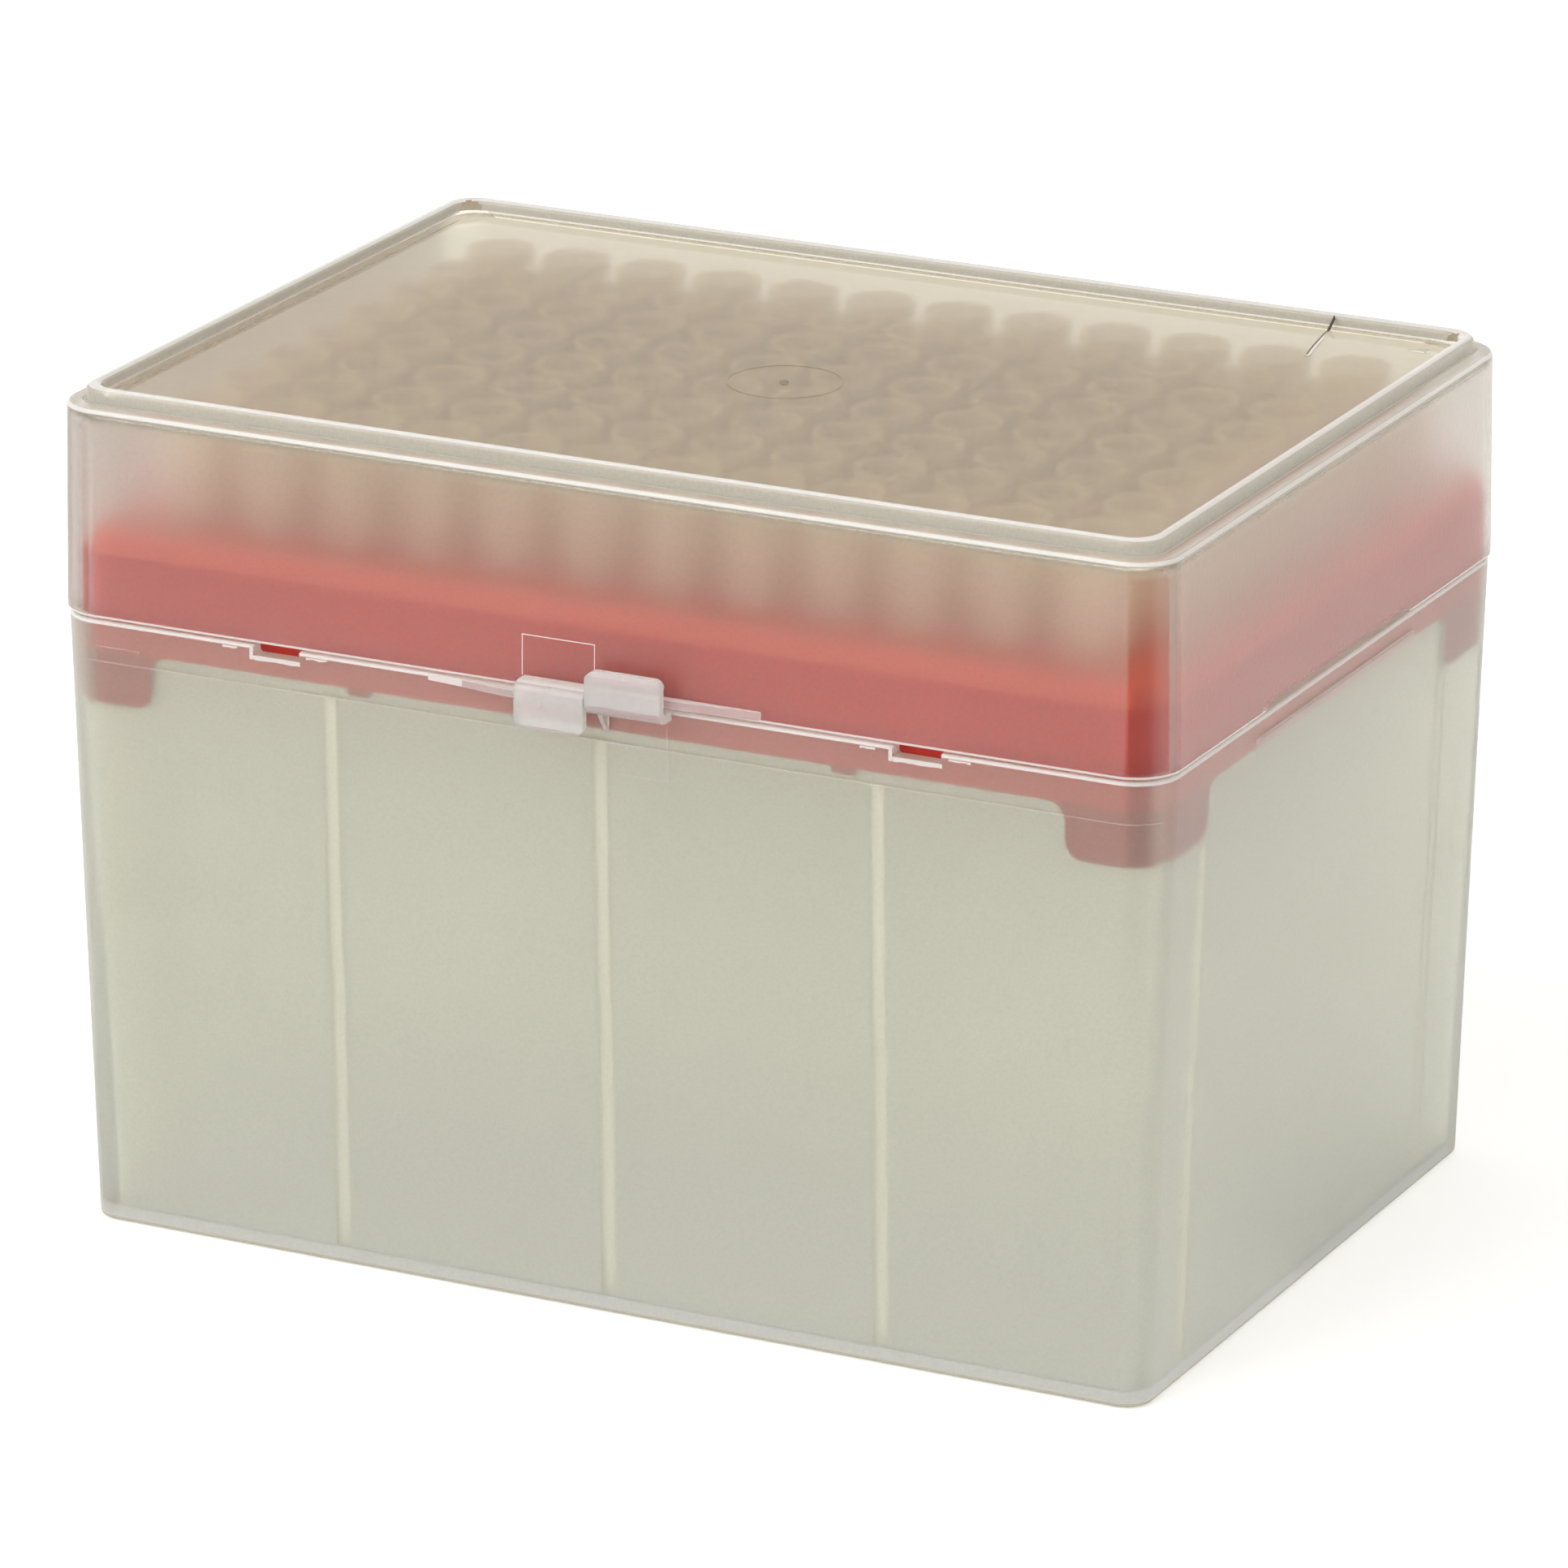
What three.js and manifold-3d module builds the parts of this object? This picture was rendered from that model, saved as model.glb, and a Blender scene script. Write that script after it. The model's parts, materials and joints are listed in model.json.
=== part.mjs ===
// A hinged storage box for pipette tips, as used on a laboratory bench: a tapered translucent tub,
// a translucent lid with a raised stacking rim, a red rack that stands in the tub and carries
// 96 long filter tips, a two-way snap latch at the front and a snap-on hinge at the back.
// Millimetres, +Z up, +X along the long side, the latch faces -Y. The origin is the middle of the
// underside of the tub.

import * as THREE from "three";
import { mergeVertices } from "three/addons/utils/BufferGeometryUtils.js";
import Module from "manifold-3d";

const wasm = await Module();
wasm.setup();

// ---------- Driving dimensions ----------

// Tips and their grid
const COLUMNS = 12;
const ROWS = 8;
const PITCH = 9;
const TIP_LENGTH = 78;
const TIP_COLLAR_HEIGHT = 10.7;
const TIP_TOP_RADIUS = 3.75;
const TIP_SEAT_RADIUS = 3.65;
const TIP_NECK_RADIUS = 3.2;
const TIP_WAIST_RADIUS = 1.9;
const TIP_WAIST_DEPTH = 52;
const TIP_END_RADIUS = 0.75;
const TIP_BORE_RADIUS = 2.75;
const TIP_BORE_TAPER = 0.3;
const TIP_BORE_DEPTH = 12;
const TIP_SIDES = 8;
const FUSED_TIP_SIDES = 6;

// Clearances
const SEAT_GAP = 0.3;
const RACK_GAP = 0.3;
const TIP_HOLE_GAP = 0.35;
const TIP_END_CLEARANCE = 6.4;
const TIP_HEADROOM = 0.9;
const LID_OVERHANG = 0.25;

// Rack
const RACK_END_MARGIN = 10.2;
const RACK_SIDE_MARGIN = 10;
const RACK_WALL = 1.4;
const DECK_THICKNESS = 1.6;
const DECK_ABOVE_SEAM = 8.9;
const RACK_EDGE_ROUND = 0.6;
const SKIRT_DEPTH = 3.7;
const LEG_DEPTH = 9.6;
const LEG_SPAN_X = 8.8;
const LEG_SPAN_Y = 11.5;
const LEG_ROUND = 2;
const FOOT_OFFSET = 27;
const FOOT_WIDTH = 2.6;
const FOOT_DROP = 0.8;

// Tub
const CORNER_RADIUS = 5;
const CORNER_STEPS = 4;
const LEAST_RADIUS = 1;
const FLOOR_THICKNESS = 1.6;
const BASE_WALL = 1.45;
const BASE_DRAFT = 0.0274;
const LEDGE_WIDTH = 0.7;
const WALL_STEP_HEIGHT = 33;
const WALL_STEP_WIDTH = 0.3;
const FLOOR_FILLET = 1.5;
const PLINTH_HEIGHT = 0.4;
const PLINTH_INSET = 0.7;
const BOTTOM_ROUND = 1;
const RIB_SPACING_X = 30.5;
const RIB_OFFSET_Y = 30;
const RIB_THICKNESS = 1.2;
const RIB_DEPTH = 1;
const WINDOW_OFFSET = 35.6;
const WINDOW_WIDTH = 5.2;
const WINDOW_DEPTH = 1;
const GRIP_WIDTH = 40;
const GRIP_DROP = 2.6;
const GRIP_HEIGHT = 0.7;
const GRIP_DEPTH = 0.5;

// Lid
const LID_WALL = 1.3;
const LID_DRAFT = 0.016;
const LID_PANEL = 1.4;
const SHOULDER_ROUND = 1;
const LEDGE_TO_PANEL = 0.3;
const RIM_INSET = 2.3;
const RIM_HEIGHT = 1.6;
const RIM_STEP = 0.25;
const RIM_WIDTH = 1.9;
const THUMB_WIDTH = 37.5;
const THUMB_HEIGHT = 0.8;
const THUMB_RUN = 2.4;

// Latch
const LATCH_CENTRE = 0.8;
const LATCH_SPLIT = 0.3;
const PLATE_WIDTH = 8;
const PLATE_THICKNESS = 0.9;
const PLATE_STANDOFF = 1.5;
const PLATE_REACH = 3.4;
const PLATE_ROOT = 0.9;
const PLATE_ROUND = 1;
const LIP_DEPTH = 0.3;
const LIP_HEIGHT = 0.7;
const BAR_HEIGHT = 0.8;
const BAR_TAPER = 10.2;
const BAR_END = 0.25;
const LATCH_ROOT = 0.5;

// Hinge
const HINGE_OFFSET_X = 32;
const HINGE_WIDTH = 9;
const PIN_RADIUS = 1;
const PIN_GAP = 0.3;
const CLIP_WALL = 1;
const CLIP_MOUTH = Math.PI / 3;
const CLIP_STEPS = 10;
const HINGE_SIDES = 16;
const EAR_THICKNESS = 1.6;
const EAR_RADIUS = 1.9;
const EAR_DROP = 6;
const HINGE_GAP = 0.3;
const HINGE_ROOT = 3;

// ---------- Sizes worked out from the driving dimensions ----------

const RACK_HALF_X = ((COLUMNS - 1) * PITCH) / 2 + RACK_END_MARGIN;
const RACK_HALF_Y = ((ROWS - 1) * PITCH) / 2 + RACK_SIDE_MARGIN;
const RACK_INSET = LID_OVERHANG + BASE_WALL + RACK_GAP;
const LID_HALF_X = RACK_HALF_X + RACK_INSET;
const LID_HALF_Y = RACK_HALF_Y + RACK_INSET;

const TIP_END = FLOOR_THICKNESS + TIP_END_CLEARANCE;
const TIP_TOP = TIP_END + TIP_LENGTH;
const DECK_TOP = TIP_TOP - TIP_COLLAR_HEIGHT - SEAT_GAP;
const SEAM = DECK_TOP - DECK_ABOVE_SEAM;
const RIM = SEAM - SEAT_GAP;
const SKIRT_BOTTOM = SEAM - SKIRT_DEPTH;
const LEG_BOTTOM = SEAM - LEG_DEPTH;
const LEDGE = SKIRT_BOTTOM - FOOT_DROP - SEAT_GAP;
const PANEL_UNDERSIDE = TIP_TOP + TIP_HEADROOM;
const PANEL_TOP = PANEL_UNDERSIDE + LID_PANEL;
const LID_LEDGE = PANEL_TOP - LEDGE_TO_PANEL;
const RIM_TOP = LID_LEDGE + RIM_HEIGHT;

const PLATE_INNER = -LID_HALF_Y - PLATE_STANDOFF;
const BAR_FACE = PLATE_INNER + LIP_DEPTH + SEAT_GAP;
const BAR_REACH = PLATE_WIDTH + BAR_TAPER;

const HINGE_OUTER = PIN_RADIUS + PIN_GAP + CLIP_WALL;
const HINGE_Y = LID_HALF_Y + HINGE_GAP + HINGE_OUTER;
const HINGE_Z = SEAM;

// The corners of the box, in order about Z, and how far the middle of a rounded edge stays back from
// the sharp edge, as a share of its radius.
const CORNERS = [
  [1, 1],
  [-1, 1],
  [-1, -1],
  [1, -1],
];
const ROUND_MIDDLE = 1 - Math.SQRT1_2;
const CURVE_STEPS = 3;

// ---------- Materials ----------

function makePlastic(color, roughness, opacity) {
  return new THREE.MeshStandardMaterial({
    color,
    roughness,
    metalness: 0,
    opacity,
    transparent: opacity < 1,
  });
}

const frostedTub = () => makePlastic(0xd2d2c2, 0.55, 0.6);
const frostedLid = () => makePlastic(0xdcdccd, 0.45, 0.5);
const redRack = () => makePlastic(0xb0221b, 0.5, 1);
const clearTip = () => makePlastic(0xe6e2d6, 0.3, 0.7);

// ---------- Solids ----------

// Turns a closed geometry into a solid that can be joined and cut.
function solidFrom(geometry) {
  const plain = geometry.index ? geometry.toNonIndexed() : geometry.clone();
  plain.deleteAttribute("normal");
  plain.deleteAttribute("uv");
  const merged = mergeVertices(plain, 1e-4);
  const corners = merged.index.array;
  const triangles = [];
  for (let i = 0; i < corners.length; i += 3) {
    const [a, b, c] = [corners[i], corners[i + 1], corners[i + 2]];
    if (a !== b && b !== c && c !== a) triangles.push(a, b, c);
  }
  const mesh = new wasm.Mesh({
    numProp: 3,
    vertProperties: new Float32Array(merged.attributes.position.array),
    triVerts: new Uint32Array(triangles),
  });
  return new wasm.Manifold(mesh);
}

function geometryFrom(solid) {
  const mesh = solid.getMesh();
  const geometry = new THREE.BufferGeometry();
  geometry.setAttribute("position", new THREE.BufferAttribute(mesh.vertProperties, 3));
  geometry.setIndex(new THREE.BufferAttribute(mesh.triVerts, 1));
  geometry.computeVertexNormals();
  return geometry;
}

// A box between two corners.
function block(x0, x1, y0, y1, z0, z1) {
  const geometry = new THREE.BoxGeometry(x1 - x0, y1 - y0, z1 - z0);
  geometry.translate((x0 + x1) / 2, (y0 + y1) / 2, (z0 + z1) / 2);
  return solidFrom(geometry);
}

function polygon(points) {
  return new THREE.Shape(points.map(([a, b]) => new THREE.Vector2(a, b)));
}

// A prism of a shape drawn in [y, z], [x, z] or [x, y], along X, Y or Z from start to end.
function prism(axis, shape, start, end) {
  const geometry = new THREE.ExtrudeGeometry(shape, {
    depth: end - start,
    bevelEnabled: false,
    curveSegments: CURVE_STEPS,
  });
  geometry.translate(0, 0, axis === "y" ? -end : start);
  if (axis !== "z") geometry.rotateX(Math.PI / 2);
  if (axis === "x") geometry.rotateZ(Math.PI / 2);
  return solidFrom(geometry);
}

// The points of the box's rounded outline, moved in from the lid's lower edge by an inset.
function outlinePoints(inset, height) {
  const radius = Math.max(CORNER_RADIUS - inset, LEAST_RADIUS);
  const points = [];
  CORNERS.forEach(([signX, signY], corner) => {
    const centreX = signX * (LID_HALF_X - inset - radius);
    const centreY = signY * (LID_HALF_Y - inset - radius);
    for (let step = 0; step <= CORNER_STEPS; step += 1) {
      const angle = ((corner + step / CORNER_STEPS) * Math.PI) / 2;
      points.push(centreX + radius * Math.cos(angle), centreY + radius * Math.sin(angle), height);
    }
  });
  return points;
}

// A loft through rounded outlines, given as [height, inset] levels, closed at both ends.
function loft(levels) {
  const count = CORNERS.length * (CORNER_STEPS + 1);
  const positions = levels.flatMap(([height, inset]) => outlinePoints(inset, height));
  const bottomCentre = positions.length / 3;
  positions.push(0, 0, levels[0][0]);
  const topCentre = bottomCentre + 1;
  positions.push(0, 0, levels[levels.length - 1][0]);
  const triangles = [];
  const lastRing = (levels.length - 1) * count;
  for (let i = 0; i < count; i += 1) {
    const j = (i + 1) % count;
    triangles.push(bottomCentre, j, i);
    triangles.push(topCentre, lastRing + i, lastRing + j);
    for (let ring = 0; ring < levels.length - 1; ring += 1) {
      const low = ring * count;
      const high = low + count;
      triangles.push(low + i, low + j, high + j);
      triangles.push(low + i, high + j, high + i);
    }
  }
  const geometry = new THREE.BufferGeometry();
  geometry.setAttribute("position", new THREE.Float32BufferAttribute(positions, 3));
  geometry.setIndex(triangles);
  return solidFrom(geometry);
}

// ---------- Tub ----------

// How far the tub's outer face lies inside the lid's outline at a height.
function tubInset(height) {
  return LID_OVERHANG + BASE_DRAFT * (RIM - height);
}

// The inside of the tub, thickened below the ledge and again below the step, and moved in further
// by an extra amount.
function tubHollow(extra) {
  const lowWall = BASE_WALL + LEDGE_WIDTH + WALL_STEP_WIDTH + extra;
  const midWall = BASE_WALL + LEDGE_WIDTH + extra;
  const rimWall = BASE_WALL + extra;
  const filletMiddle = FLOOR_FILLET * ROUND_MIDDLE;
  return loft([
    [FLOOR_THICKNESS, tubInset(FLOOR_THICKNESS) + lowWall + FLOOR_FILLET],
    [FLOOR_THICKNESS + filletMiddle, tubInset(FLOOR_THICKNESS) + lowWall + filletMiddle],
    [FLOOR_THICKNESS + FLOOR_FILLET, tubInset(FLOOR_THICKNESS + FLOOR_FILLET) + lowWall],
    [WALL_STEP_HEIGHT, tubInset(WALL_STEP_HEIGHT) + lowWall],
    [WALL_STEP_HEIGHT + WALL_STEP_WIDTH, tubInset(WALL_STEP_HEIGHT) + midWall],
    [LEDGE, tubInset(LEDGE) + midWall],
    [LEDGE, tubInset(LEDGE) + rimWall],
    [RIM + 1, tubInset(RIM) + rimWall - BASE_DRAFT],
  ]);
}

function tubOuter() {
  const lower = PLINTH_HEIGHT + BOTTOM_ROUND;
  return loft([
    [0, tubInset(0) + PLINTH_INSET + BOTTOM_ROUND],
    [PLINTH_HEIGHT, tubInset(0) + PLINTH_INSET + BOTTOM_ROUND],
    [PLINTH_HEIGHT, tubInset(0) + BOTTOM_ROUND],
    [PLINTH_HEIGHT + BOTTOM_ROUND * ROUND_MIDDLE, tubInset(0) + BOTTOM_ROUND * ROUND_MIDDLE],
    [lower, tubInset(lower)],
    [RIM, tubInset(RIM)],
  ]);
}

// Upright stiffening ribs on the inner faces, up to the ledge that the rack's feet stand on.
function tubRibs(outer) {
  const half = RIB_THICKNESS / 2;
  let ribs = null;
  for (const x of [-RIB_SPACING_X, 0, RIB_SPACING_X]) {
    const rib = block(x - half, x + half, -LID_HALF_Y, LID_HALF_Y, FLOOR_THICKNESS / 2, LEDGE);
    ribs = ribs ? ribs.add(rib) : rib;
  }
  for (const y of [-RIB_OFFSET_Y, RIB_OFFSET_Y]) {
    ribs = ribs.add(block(-LID_HALF_X, LID_HALF_X, y - half, y + half, FLOOR_THICKNESS / 2, LEDGE));
  }
  return ribs.intersect(outer).subtract(tubHollow(RIB_DEPTH));
}

// Room in the ledge's four corners for the rack's legs.
function legPockets() {
  const bottom = LEG_BOTTOM - SEAT_GAP;
  const spanX = RACK_HALF_X - LEG_SPAN_X - LEG_ROUND;
  const spanY = RACK_HALF_Y - LEG_SPAN_Y - LEG_ROUND;
  const room = loft([
    [bottom, tubInset(bottom) + BASE_WALL],
    [RIM + 1, tubInset(RIM) + BASE_WALL - BASE_DRAFT],
  ]);
  const alongX = block(-spanX, spanX, -LID_HALF_Y, LID_HALF_Y, bottom - 1, LEDGE);
  const alongY = block(-LID_HALF_X, LID_HALF_X, -spanY, spanY, bottom - 1, LEDGE);
  return room.subtract(alongX).subtract(alongY);
}

// Narrow notches in the rim of the long sides.
function rimNotches() {
  const half = WINDOW_WIDTH / 2;
  const [left, right] = [-WINDOW_OFFSET, WINDOW_OFFSET].map((x) =>
    block(x - half, x + half, -LID_HALF_Y, LID_HALF_Y, RIM - WINDOW_DEPTH, RIM + 1),
  );
  return left.add(right);
}

// Thin ledges on the short sides, under the lid's thumb gaps.
function gripLedges() {
  const top = SEAM - GRIP_DROP + GRIP_HEIGHT / 2;
  const bottom = top - GRIP_HEIGHT;
  const reach = LID_HALF_X - tubInset(top) + GRIP_DEPTH;
  const root = reach - GRIP_DEPTH - BASE_WALL / 2;
  const half = GRIP_WIDTH / 2;
  const section = [
    [root, -half],
    [reach - GRIP_DEPTH, -half],
    [reach, GRIP_DEPTH * 2 - half],
    [reach, half - GRIP_DEPTH * 2],
    [reach - GRIP_DEPTH, half],
    [root, half],
  ];
  const mirrored = section.map(([x, y]) => [-x, -y]);
  return prism("z", polygon(section), bottom, top).add(prism("z", polygon(mirrored), bottom, top));
}

// ---------- Latch ----------

// Both halves carry a plate that stands in front of a bar on the other half. The lid's plate hangs
// on the left, the tub's plate rises on the right, and each has a shallow lip at its free end.
// A plate grows from the wall at its root; up is -1 for the hanging plate and +1 for the rising one.
function latchPlate(x0, x1, wall, root, up) {
  const inner = PLATE_INNER;
  const outer = inner - PLATE_THICKNESS;
  const end = root + up * (PLATE_REACH + PLATE_ROOT);
  const bend = root + up * PLATE_ROOT;
  const section = [
    [wall, root],
    [outer + PLATE_ROUND, root],
    [outer + PLATE_ROUND * ROUND_MIDDLE, root + up * PLATE_ROUND * ROUND_MIDDLE],
    [outer, root + up * PLATE_ROUND],
    [outer, end - up * LIP_DEPTH],
    [outer + LIP_DEPTH, end],
    [inner + LIP_DEPTH, end],
    [inner + LIP_DEPTH, end - up * LIP_HEIGHT],
    [inner, end - up * (LIP_HEIGHT + LIP_DEPTH)],
    [inner, bend + up * LIP_DEPTH],
    [inner + LIP_DEPTH, bend],
    [wall, bend],
  ];
  return prism("x", polygon(section), x0, x1);
}

// A bar on the wall, just behind the lip of the plate in front of it, that tapers away beside it.
function latchBar(x0, x1, xTaper, wall, bottom, endDepth) {
  const root = wall + LATCH_ROOT;
  const section = [
    [x0, root],
    [x0, BAR_FACE],
    [x1, BAR_FACE],
    [xTaper, wall - endDepth],
    [xTaper, root],
  ];
  return prism("z", polygon(section), bottom, bottom + BAR_HEIGHT);
}

function tubLatch() {
  const wall = -LID_HALF_Y + tubInset(RIM);
  const plateLeft = LATCH_CENTRE + LATCH_SPLIT / 2;
  const barRight = LATCH_CENTRE - LATCH_SPLIT / 2;
  const plate = latchPlate(plateLeft, plateLeft + PLATE_WIDTH, wall + LATCH_ROOT, RIM - PLATE_ROOT, 1);
  const bar = latchBar(barRight, barRight - PLATE_WIDTH, barRight - BAR_REACH, wall, RIM - BAR_HEIGHT, 0);
  return plate.add(bar);
}

function lidLatch() {
  const wall = -LID_HALF_Y;
  const plateRight = LATCH_CENTRE - LATCH_SPLIT / 2;
  const barLeft = LATCH_CENTRE + LATCH_SPLIT / 2;
  const plate = latchPlate(plateRight - PLATE_WIDTH, plateRight, wall + LATCH_ROOT, SEAM + PLATE_ROOT, -1);
  const bar = latchBar(barLeft, barLeft + PLATE_WIDTH, barLeft + BAR_REACH, wall, SEAM + SEAT_GAP, BAR_END);
  return plate.add(bar);
}

// ---------- Hinge ----------

function disc(radius, x0, x1) {
  const geometry = new THREE.CylinderGeometry(radius, radius, x1 - x0, HINGE_SIDES);
  geometry.rotateZ(Math.PI / 2);
  geometry.translate((x0 + x1) / 2, HINGE_Y, HINGE_Z);
  return solidFrom(geometry);
}

// The tub's half of one hinge: a pin between two ears.
function hingeEars(centre) {
  const inner = HINGE_WIDTH / 2 + SEAT_GAP;
  const outer = inner + EAR_THICKNESS;
  const top = RIM - SEAT_GAP;
  const earCorner = EAR_RADIUS * Math.SQRT1_2;
  const section = polygon([
    [LID_HALF_Y - tubInset(RIM) - BASE_WALL / 2, top],
    [LID_HALF_Y - tubInset(RIM - EAR_DROP) - BASE_WALL / 2, RIM - EAR_DROP],
    [HINGE_Y, HINGE_Z - EAR_RADIUS],
    [HINGE_Y + earCorner, HINGE_Z - earCorner],
    [HINGE_Y, top],
  ]);
  let ears = disc(PIN_RADIUS, centre - outer, centre + outer);
  for (const start of [centre - outer, centre + inner]) {
    const end = start + EAR_THICKNESS;
    ears = ears.add(disc(EAR_RADIUS, start, end)).add(prism("x", section, start, end));
  }
  return ears;
}

// The points of the clip's arc about the hinge's axis, from one side of its mouth to the other.
function clipArc(radius) {
  const start = (CLIP_MOUTH - Math.PI) / 2;
  const sweep = 2 * Math.PI - CLIP_MOUTH;
  const points = [];
  for (let step = 0; step <= CLIP_STEPS; step += 1) {
    const angle = start + (sweep * step) / CLIP_STEPS;
    points.push([HINGE_Y + radius * Math.cos(angle), HINGE_Z + radius * Math.sin(angle)]);
  }
  return points;
}

// The lid's half of one hinge: a clip that snaps over the pin, on a web from the lid's wall.
function hingeClip(centre) {
  const inner = PIN_RADIUS + PIN_GAP;
  const middle = inner + CLIP_WALL / 2;
  const x0 = centre - HINGE_WIDTH / 2;
  const x1 = centre + HINGE_WIDTH / 2;
  const wall = LID_HALF_Y - LID_WALL / 2;
  const ring = polygon([...clipArc(HINGE_OUTER), ...clipArc(inner).reverse()]);
  const web = polygon([
    [wall, SEAM + HINGE_ROOT],
    [wall, SEAM],
    [HINGE_Y - middle, SEAM],
    [HINGE_Y, HINGE_Z + middle],
  ]);
  return prism("x", ring, x0, x1).add(prism("x", web, x0, x1).subtract(disc(inner, x0 - 1, x1 + 1)));
}

// ---------- Lid ----------

function lidInset(height) {
  return LID_DRAFT * (height - SEAM);
}

// The lid's outside: drafted walls, a rounded shoulder, a ledge, the stacking rim in two beads
// and the sunk panel inside it.
function lidOuter() {
  const shoulder = LID_LEDGE - SHOULDER_ROUND;
  const edge = lidInset(shoulder);
  const rim = edge + RIM_INSET;
  const shoulderMiddle = SHOULDER_ROUND * ROUND_MIDDLE;
  return loft([
    [SEAM, 0],
    [shoulder, edge],
    [LID_LEDGE - shoulderMiddle, edge + shoulderMiddle],
    [LID_LEDGE, edge + SHOULDER_ROUND],
    [LID_LEDGE, rim],
    [LID_LEDGE + RIM_HEIGHT / 2, rim],
    [LID_LEDGE + RIM_HEIGHT / 2, rim + RIM_STEP],
    [RIM_TOP - RIM_STEP, rim + RIM_STEP],
    [RIM_TOP, rim + 2 * RIM_STEP],
    [RIM_TOP, rim + RIM_WIDTH - RIM_STEP],
    [PANEL_TOP, rim + RIM_WIDTH],
  ]);
}

function lidHollow() {
  const top = PANEL_UNDERSIDE - SHOULDER_ROUND;
  const roundMiddle = SHOULDER_ROUND * ROUND_MIDDLE;
  return loft([
    [SEAM - 1, lidInset(SEAM - 1) + LID_WALL],
    [top, lidInset(top) + LID_WALL],
    [PANEL_UNDERSIDE - roundMiddle, lidInset(top) + LID_WALL + roundMiddle],
    [PANEL_UNDERSIDE, lidInset(top) + LID_WALL + SHOULDER_ROUND],
  ]);
}

// A shallow gap in the lower edge of each short side, for a thumb.
function thumbGaps() {
  const half = THUMB_WIDTH / 2;
  const top = SEAM + THUMB_HEIGHT;
  const shape = new THREE.Shape();
  shape.moveTo(-half, SEAM - 1);
  shape.lineTo(half, SEAM - 1);
  shape.lineTo(half, SEAM);
  shape.quadraticCurveTo(half - THUMB_HEIGHT, top, half - THUMB_RUN, top);
  shape.lineTo(THUMB_RUN - half, top);
  shape.quadraticCurveTo(THUMB_HEIGHT - half, top, -half, SEAM);
  return prism("x", shape, -LID_HALF_X, LID_HALF_X);
}

function makeLid() {
  let lid = lidOuter().subtract(lidHollow()).subtract(thumbGaps()).add(lidLatch());
  for (const side of [-1, 1]) lid = lid.add(hingeClip(side * HINGE_OFFSET_X));
  return lid;
}

function makeTub() {
  const outer = tubOuter();
  let tub = outer.subtract(tubHollow(0)).add(tubRibs(outer));
  tub = tub.subtract(legPockets()).subtract(rimNotches()).add(gripLedges()).add(tubLatch());
  for (const side of [-1, 1]) tub = tub.add(hingeEars(side * HINGE_OFFSET_X));
  return tub;
}

// ---------- Tips ----------

// Half section of a tip from its end to the bottom of its bore. The collar starts at a given
// height; the bore ends on the filter plug, which closes it.
function tipProfile(collarStart) {
  return [
    [0, TIP_END],
    [TIP_END_RADIUS, TIP_END],
    [TIP_WAIST_RADIUS, TIP_TOP - TIP_WAIST_DEPTH],
    [TIP_NECK_RADIUS, collarStart],
    [TIP_SEAT_RADIUS, collarStart],
    [TIP_TOP_RADIUS, TIP_TOP],
    [TIP_BORE_RADIUS, TIP_TOP],
    [TIP_BORE_RADIUS - TIP_BORE_TAPER, TIP_TOP - TIP_BORE_DEPTH],
    [0, TIP_TOP - TIP_BORE_DEPTH],
  ].map(([radius, height]) => new THREE.Vector2(radius, height));
}

function tipSolid(collarStart, sides) {
  const geometry = new THREE.LatheGeometry(tipProfile(collarStart), sides);
  geometry.rotateX(Math.PI / 2);
  geometry.rotateZ(Math.PI / sides);
  return solidFrom(geometry);
}

function tipPlaces() {
  const places = [];
  for (let row = 0; row < ROWS; row += 1) {
    for (let column = 0; column < COLUMNS; column += 1) {
      places.push({
        name: `tip_${String.fromCharCode(97 + row)}${String(column + 1).padStart(2, "0")}`,
        x: (column - (COLUMNS - 1) / 2) * PITCH,
        y: ((ROWS - 1) / 2 - row) * PITCH,
        outer: row === 0 || row === ROWS - 1 || column === 0 || column === COLUMNS - 1,
      });
    }
  }
  return places;
}

// ---------- Rack ----------

function rackInset(height) {
  return RACK_INSET + BASE_DRAFT * Math.max(RIM - height, 0);
}

function rackShell() {
  const outer = loft([
    [LEG_BOTTOM, rackInset(LEG_BOTTOM)],
    [RIM, rackInset(RIM)],
    [DECK_TOP - RACK_EDGE_ROUND, rackInset(RIM)],
    [DECK_TOP, rackInset(RIM) + RACK_EDGE_ROUND],
  ]);
  const hollow = loft([
    [LEG_BOTTOM - 1, rackInset(LEG_BOTTOM - 1) + RACK_WALL],
    [RIM, rackInset(RIM) + RACK_WALL],
    [DECK_TOP - DECK_THICKNESS, rackInset(RIM) + RACK_WALL],
  ]);
  return outer.subtract(hollow);
}

// The gap between two legs, as an arch with rounded feet and rounded corners.
function archShape(half) {
  const shape = new THREE.Shape();
  shape.moveTo(-half - LEG_ROUND, LEG_BOTTOM - 1);
  shape.lineTo(half + LEG_ROUND, LEG_BOTTOM - 1);
  shape.lineTo(half + LEG_ROUND, LEG_BOTTOM);
  shape.quadraticCurveTo(half, LEG_BOTTOM, half, LEG_BOTTOM + LEG_ROUND);
  shape.lineTo(half, SKIRT_BOTTOM - LEG_ROUND);
  shape.quadraticCurveTo(half, SKIRT_BOTTOM, half - LEG_ROUND, SKIRT_BOTTOM);
  shape.lineTo(LEG_ROUND - half, SKIRT_BOTTOM);
  shape.quadraticCurveTo(-half, SKIRT_BOTTOM, -half, SKIRT_BOTTOM - LEG_ROUND);
  shape.lineTo(-half, LEG_BOTTOM + LEG_ROUND);
  shape.quadraticCurveTo(-half, LEG_BOTTOM, -half - LEG_ROUND, LEG_BOTTOM);
  return shape;
}

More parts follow.
